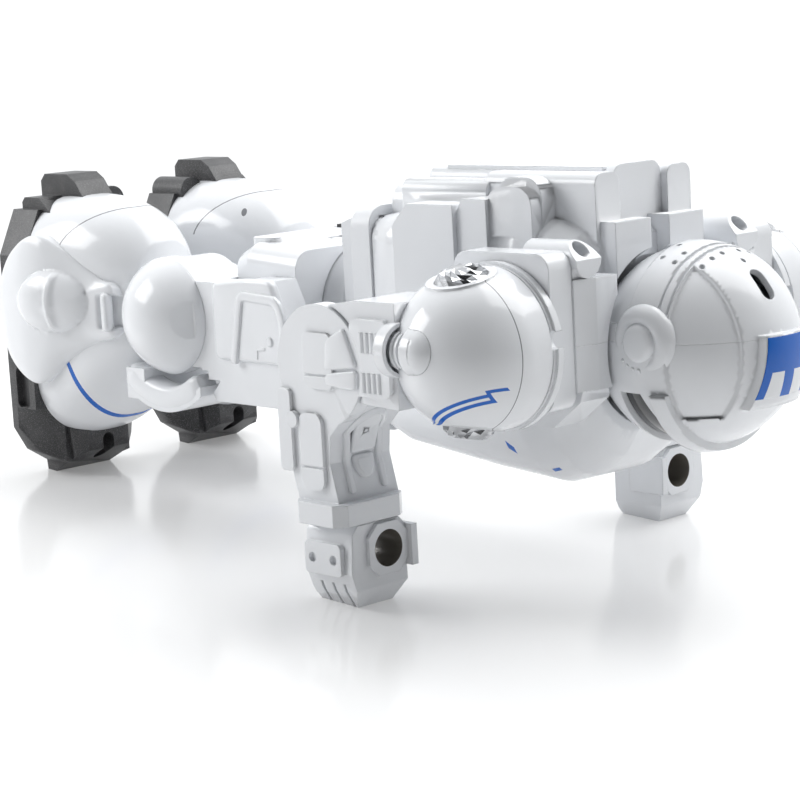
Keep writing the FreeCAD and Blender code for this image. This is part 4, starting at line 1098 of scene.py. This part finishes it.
@dataclass
class Arm(Assembly):
    """An arm: shoulder dome with its two crystals, upper arm, forearm with its pads, and fist."""

    side: Side = Side.LEFT
    shoulder: Point = (138.5, 74.0, 0.5)
    lean: float = 12.0  # degrees that the crystals lean outwards
    crystal_rows: Outline = (  # radius and height
        (9.5, 22.5), (9.5, 25.9), (9.3, 26.4), (8.3, 27.9), (6.6, 29.2), (4.6, 29.9), (2.2, 30.4))
    crystal_facets: int = 22
    facet_depth: float = 0.5
    elbow_face: float = 98.6
    elbow_pads: tuple[Outline, ...] = (
        ((88.9, -6.4), (89.8, 4.6), (99.4, 9.6), (105.3, -4.2)),
        ((88.6, -11.6), (89.0, -7.2), (105.4, -5.1), (104.8, -12.4)))
    pill: tuple[Outline, ...] = (
        ((78.2, -37.6), (78.2, -26.0), (82.0, -22.6), (86.0, -22.6), (89.8, -26.0), (89.8, -37.6)),
        ((78.8, -38.4), (89.2, -38.4), (88.8, -43.0), (86.0, -47.0), (82.0, -47.0), (79.2, -43.0)))
    pill_shape: tuple[float, ...] = (1.6, 2.2, 0.5)  # its corners' radius, rim height and crown
    pill_sunk: float = 0.4
    arch_half: float = 7.8
    arch_y: float = 84.0
    arch_foot: float = -50.0
    arch_spring: float = -30.0
    arch_proud: float = 0.2
    arch_section: Pair = (1.5, 1.3)
    leg_rows: int = 8
    strut_front: Outline = ((-56.0, 92.0), (-40.0, 88.0), (-30.0, 89.0), (-20.0, 99.0))  # z and x

    def build(self) -> None:
        """Build the arm's pieces."""
        self.mould("shoulder_dome", side=self.side, finish=DOME_WHITE)
        self.mould("upper_arm", "forearm", "elbow_pin", side=self.side)
        self.mould("fist", side=self.side, finish=FIST_WHITE)
        for half in Half:
            self.crystal(half)
        self.pads()

    def crystal(self, half: Half) -> None:
        """Cut one crystal: rows of points round its axis, each turned by half a facet. Their radii and
        heights rise and fall as sin and cos of the row and column, and the whole leans outwards about the
        shoulder."""
        name, sign = half.value
        radius, height = np.array(self.crystal_rows).T[:, :, None]
        rows, columns = len(self.crystal_rows), self.crystal_facets
        row, column = np.meshgrid(np.arange(rows), np.arange(columns), indexing="ij")
        turn = 2 * np.pi * (column + 0.5 * np.clip(row - 1, 0, rows)) / columns
        facet = np.where((row > 2) & (row < rows - 1), self.facet_depth, 0.0)
        radius = radius + facet * np.sin(2.4 * column + 3.0 * row)
        height = (height + facet * np.cos(2.9 * column + 2.0 * row)) * sign
        across, along = radius * np.sin(turn), radius * np.cos(turn)
        lean = math.radians(-sign * self.lean)
        shape = wrapped(spots(self.shoulder[0] + along,
                              self.shoulder[1] + across * math.cos(lean) - height * math.sin(lean),
                              self.shoulder[2] + across * math.sin(lean) + height * math.cos(lean)))
        split = [part for quad in shape.faces[:-2] for part in (quad[:3], [quad[0], quad[2], quad[3]])]
        shape = Shape(shape.points, split + shape.faces[-2:])
        node = f"shoulder_lens_{name}"
        self.fit(self.side, f"{name}_crystal", shape, node, CRYSTAL, sharp=1.0, replaces=True)

    def strut(self, rise: np.ndarray) -> np.ndarray:
        """The x of the forearm's front face at each height z."""
        return np.interp(rise, *np.array(self.strut_front).T)

    def pads(self) -> None:
        """Set the elbow's two pads, the two parts of the pill on the forearm's front, and the arch round
        it: half a circle of arch_half over two straight legs, carried at the strut's front face."""
        upper, lower = (sideways_pad(pillow(np.array(outline), 1.9, 1.7, 0.3), self.elbow_face)
                        for outline in self.elbow_pads)
        self.fit(self.side, "elbow_pads", upper.joined(lower), "forearm")
        halves = []
        for outline in self.pill:
            across, rise, height = np.moveaxis(pillow(np.array(outline), *self.pill_shape), -1, 0)
            halves.append(wrapped(spots(self.strut(rise) - self.pill_sunk + height, across, rise)))
        self.fit(self.side, "forearm_pill", halves[0].joined(halves[1]), "forearm")
        turn = np.linspace(np.pi, 0.0, 21)
        leg = np.linspace(self.arch_foot, self.arch_spring, self.leg_rows, endpoint=False)
        foot = np.full(self.leg_rows, self.arch_half)
        y = self.arch_y + np.concatenate([-foot, self.arch_half * np.cos(turn), foot])
        z = np.concatenate([leg, self.arch_spring + self.arch_half * np.sin(turn), leg[::-1]])
        arch = beam(spots(self.strut(z) + self.arch_proud, y, z), AHEAD, *self.arch_section)
        self.fit(self.side, "forearm_arch", arch, "forearm")


def main() -> None:
    """Build the whole scene."""
    logging.basicConfig(level=logging.INFO, format="%(message)s")
    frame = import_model()
    bench = Bench(frame, Spine.of(frame))
    assemblies = [Head(bench), Torso(bench), Waist(bench), Pelvis(bench)]
    for side in Side:
        assemblies.extend((Arm(bench, side), Leg(bench, side)))
    for assembly in assemblies:
        assembly.build()
    Studio().build()


if __name__ == "__main__":
    main()
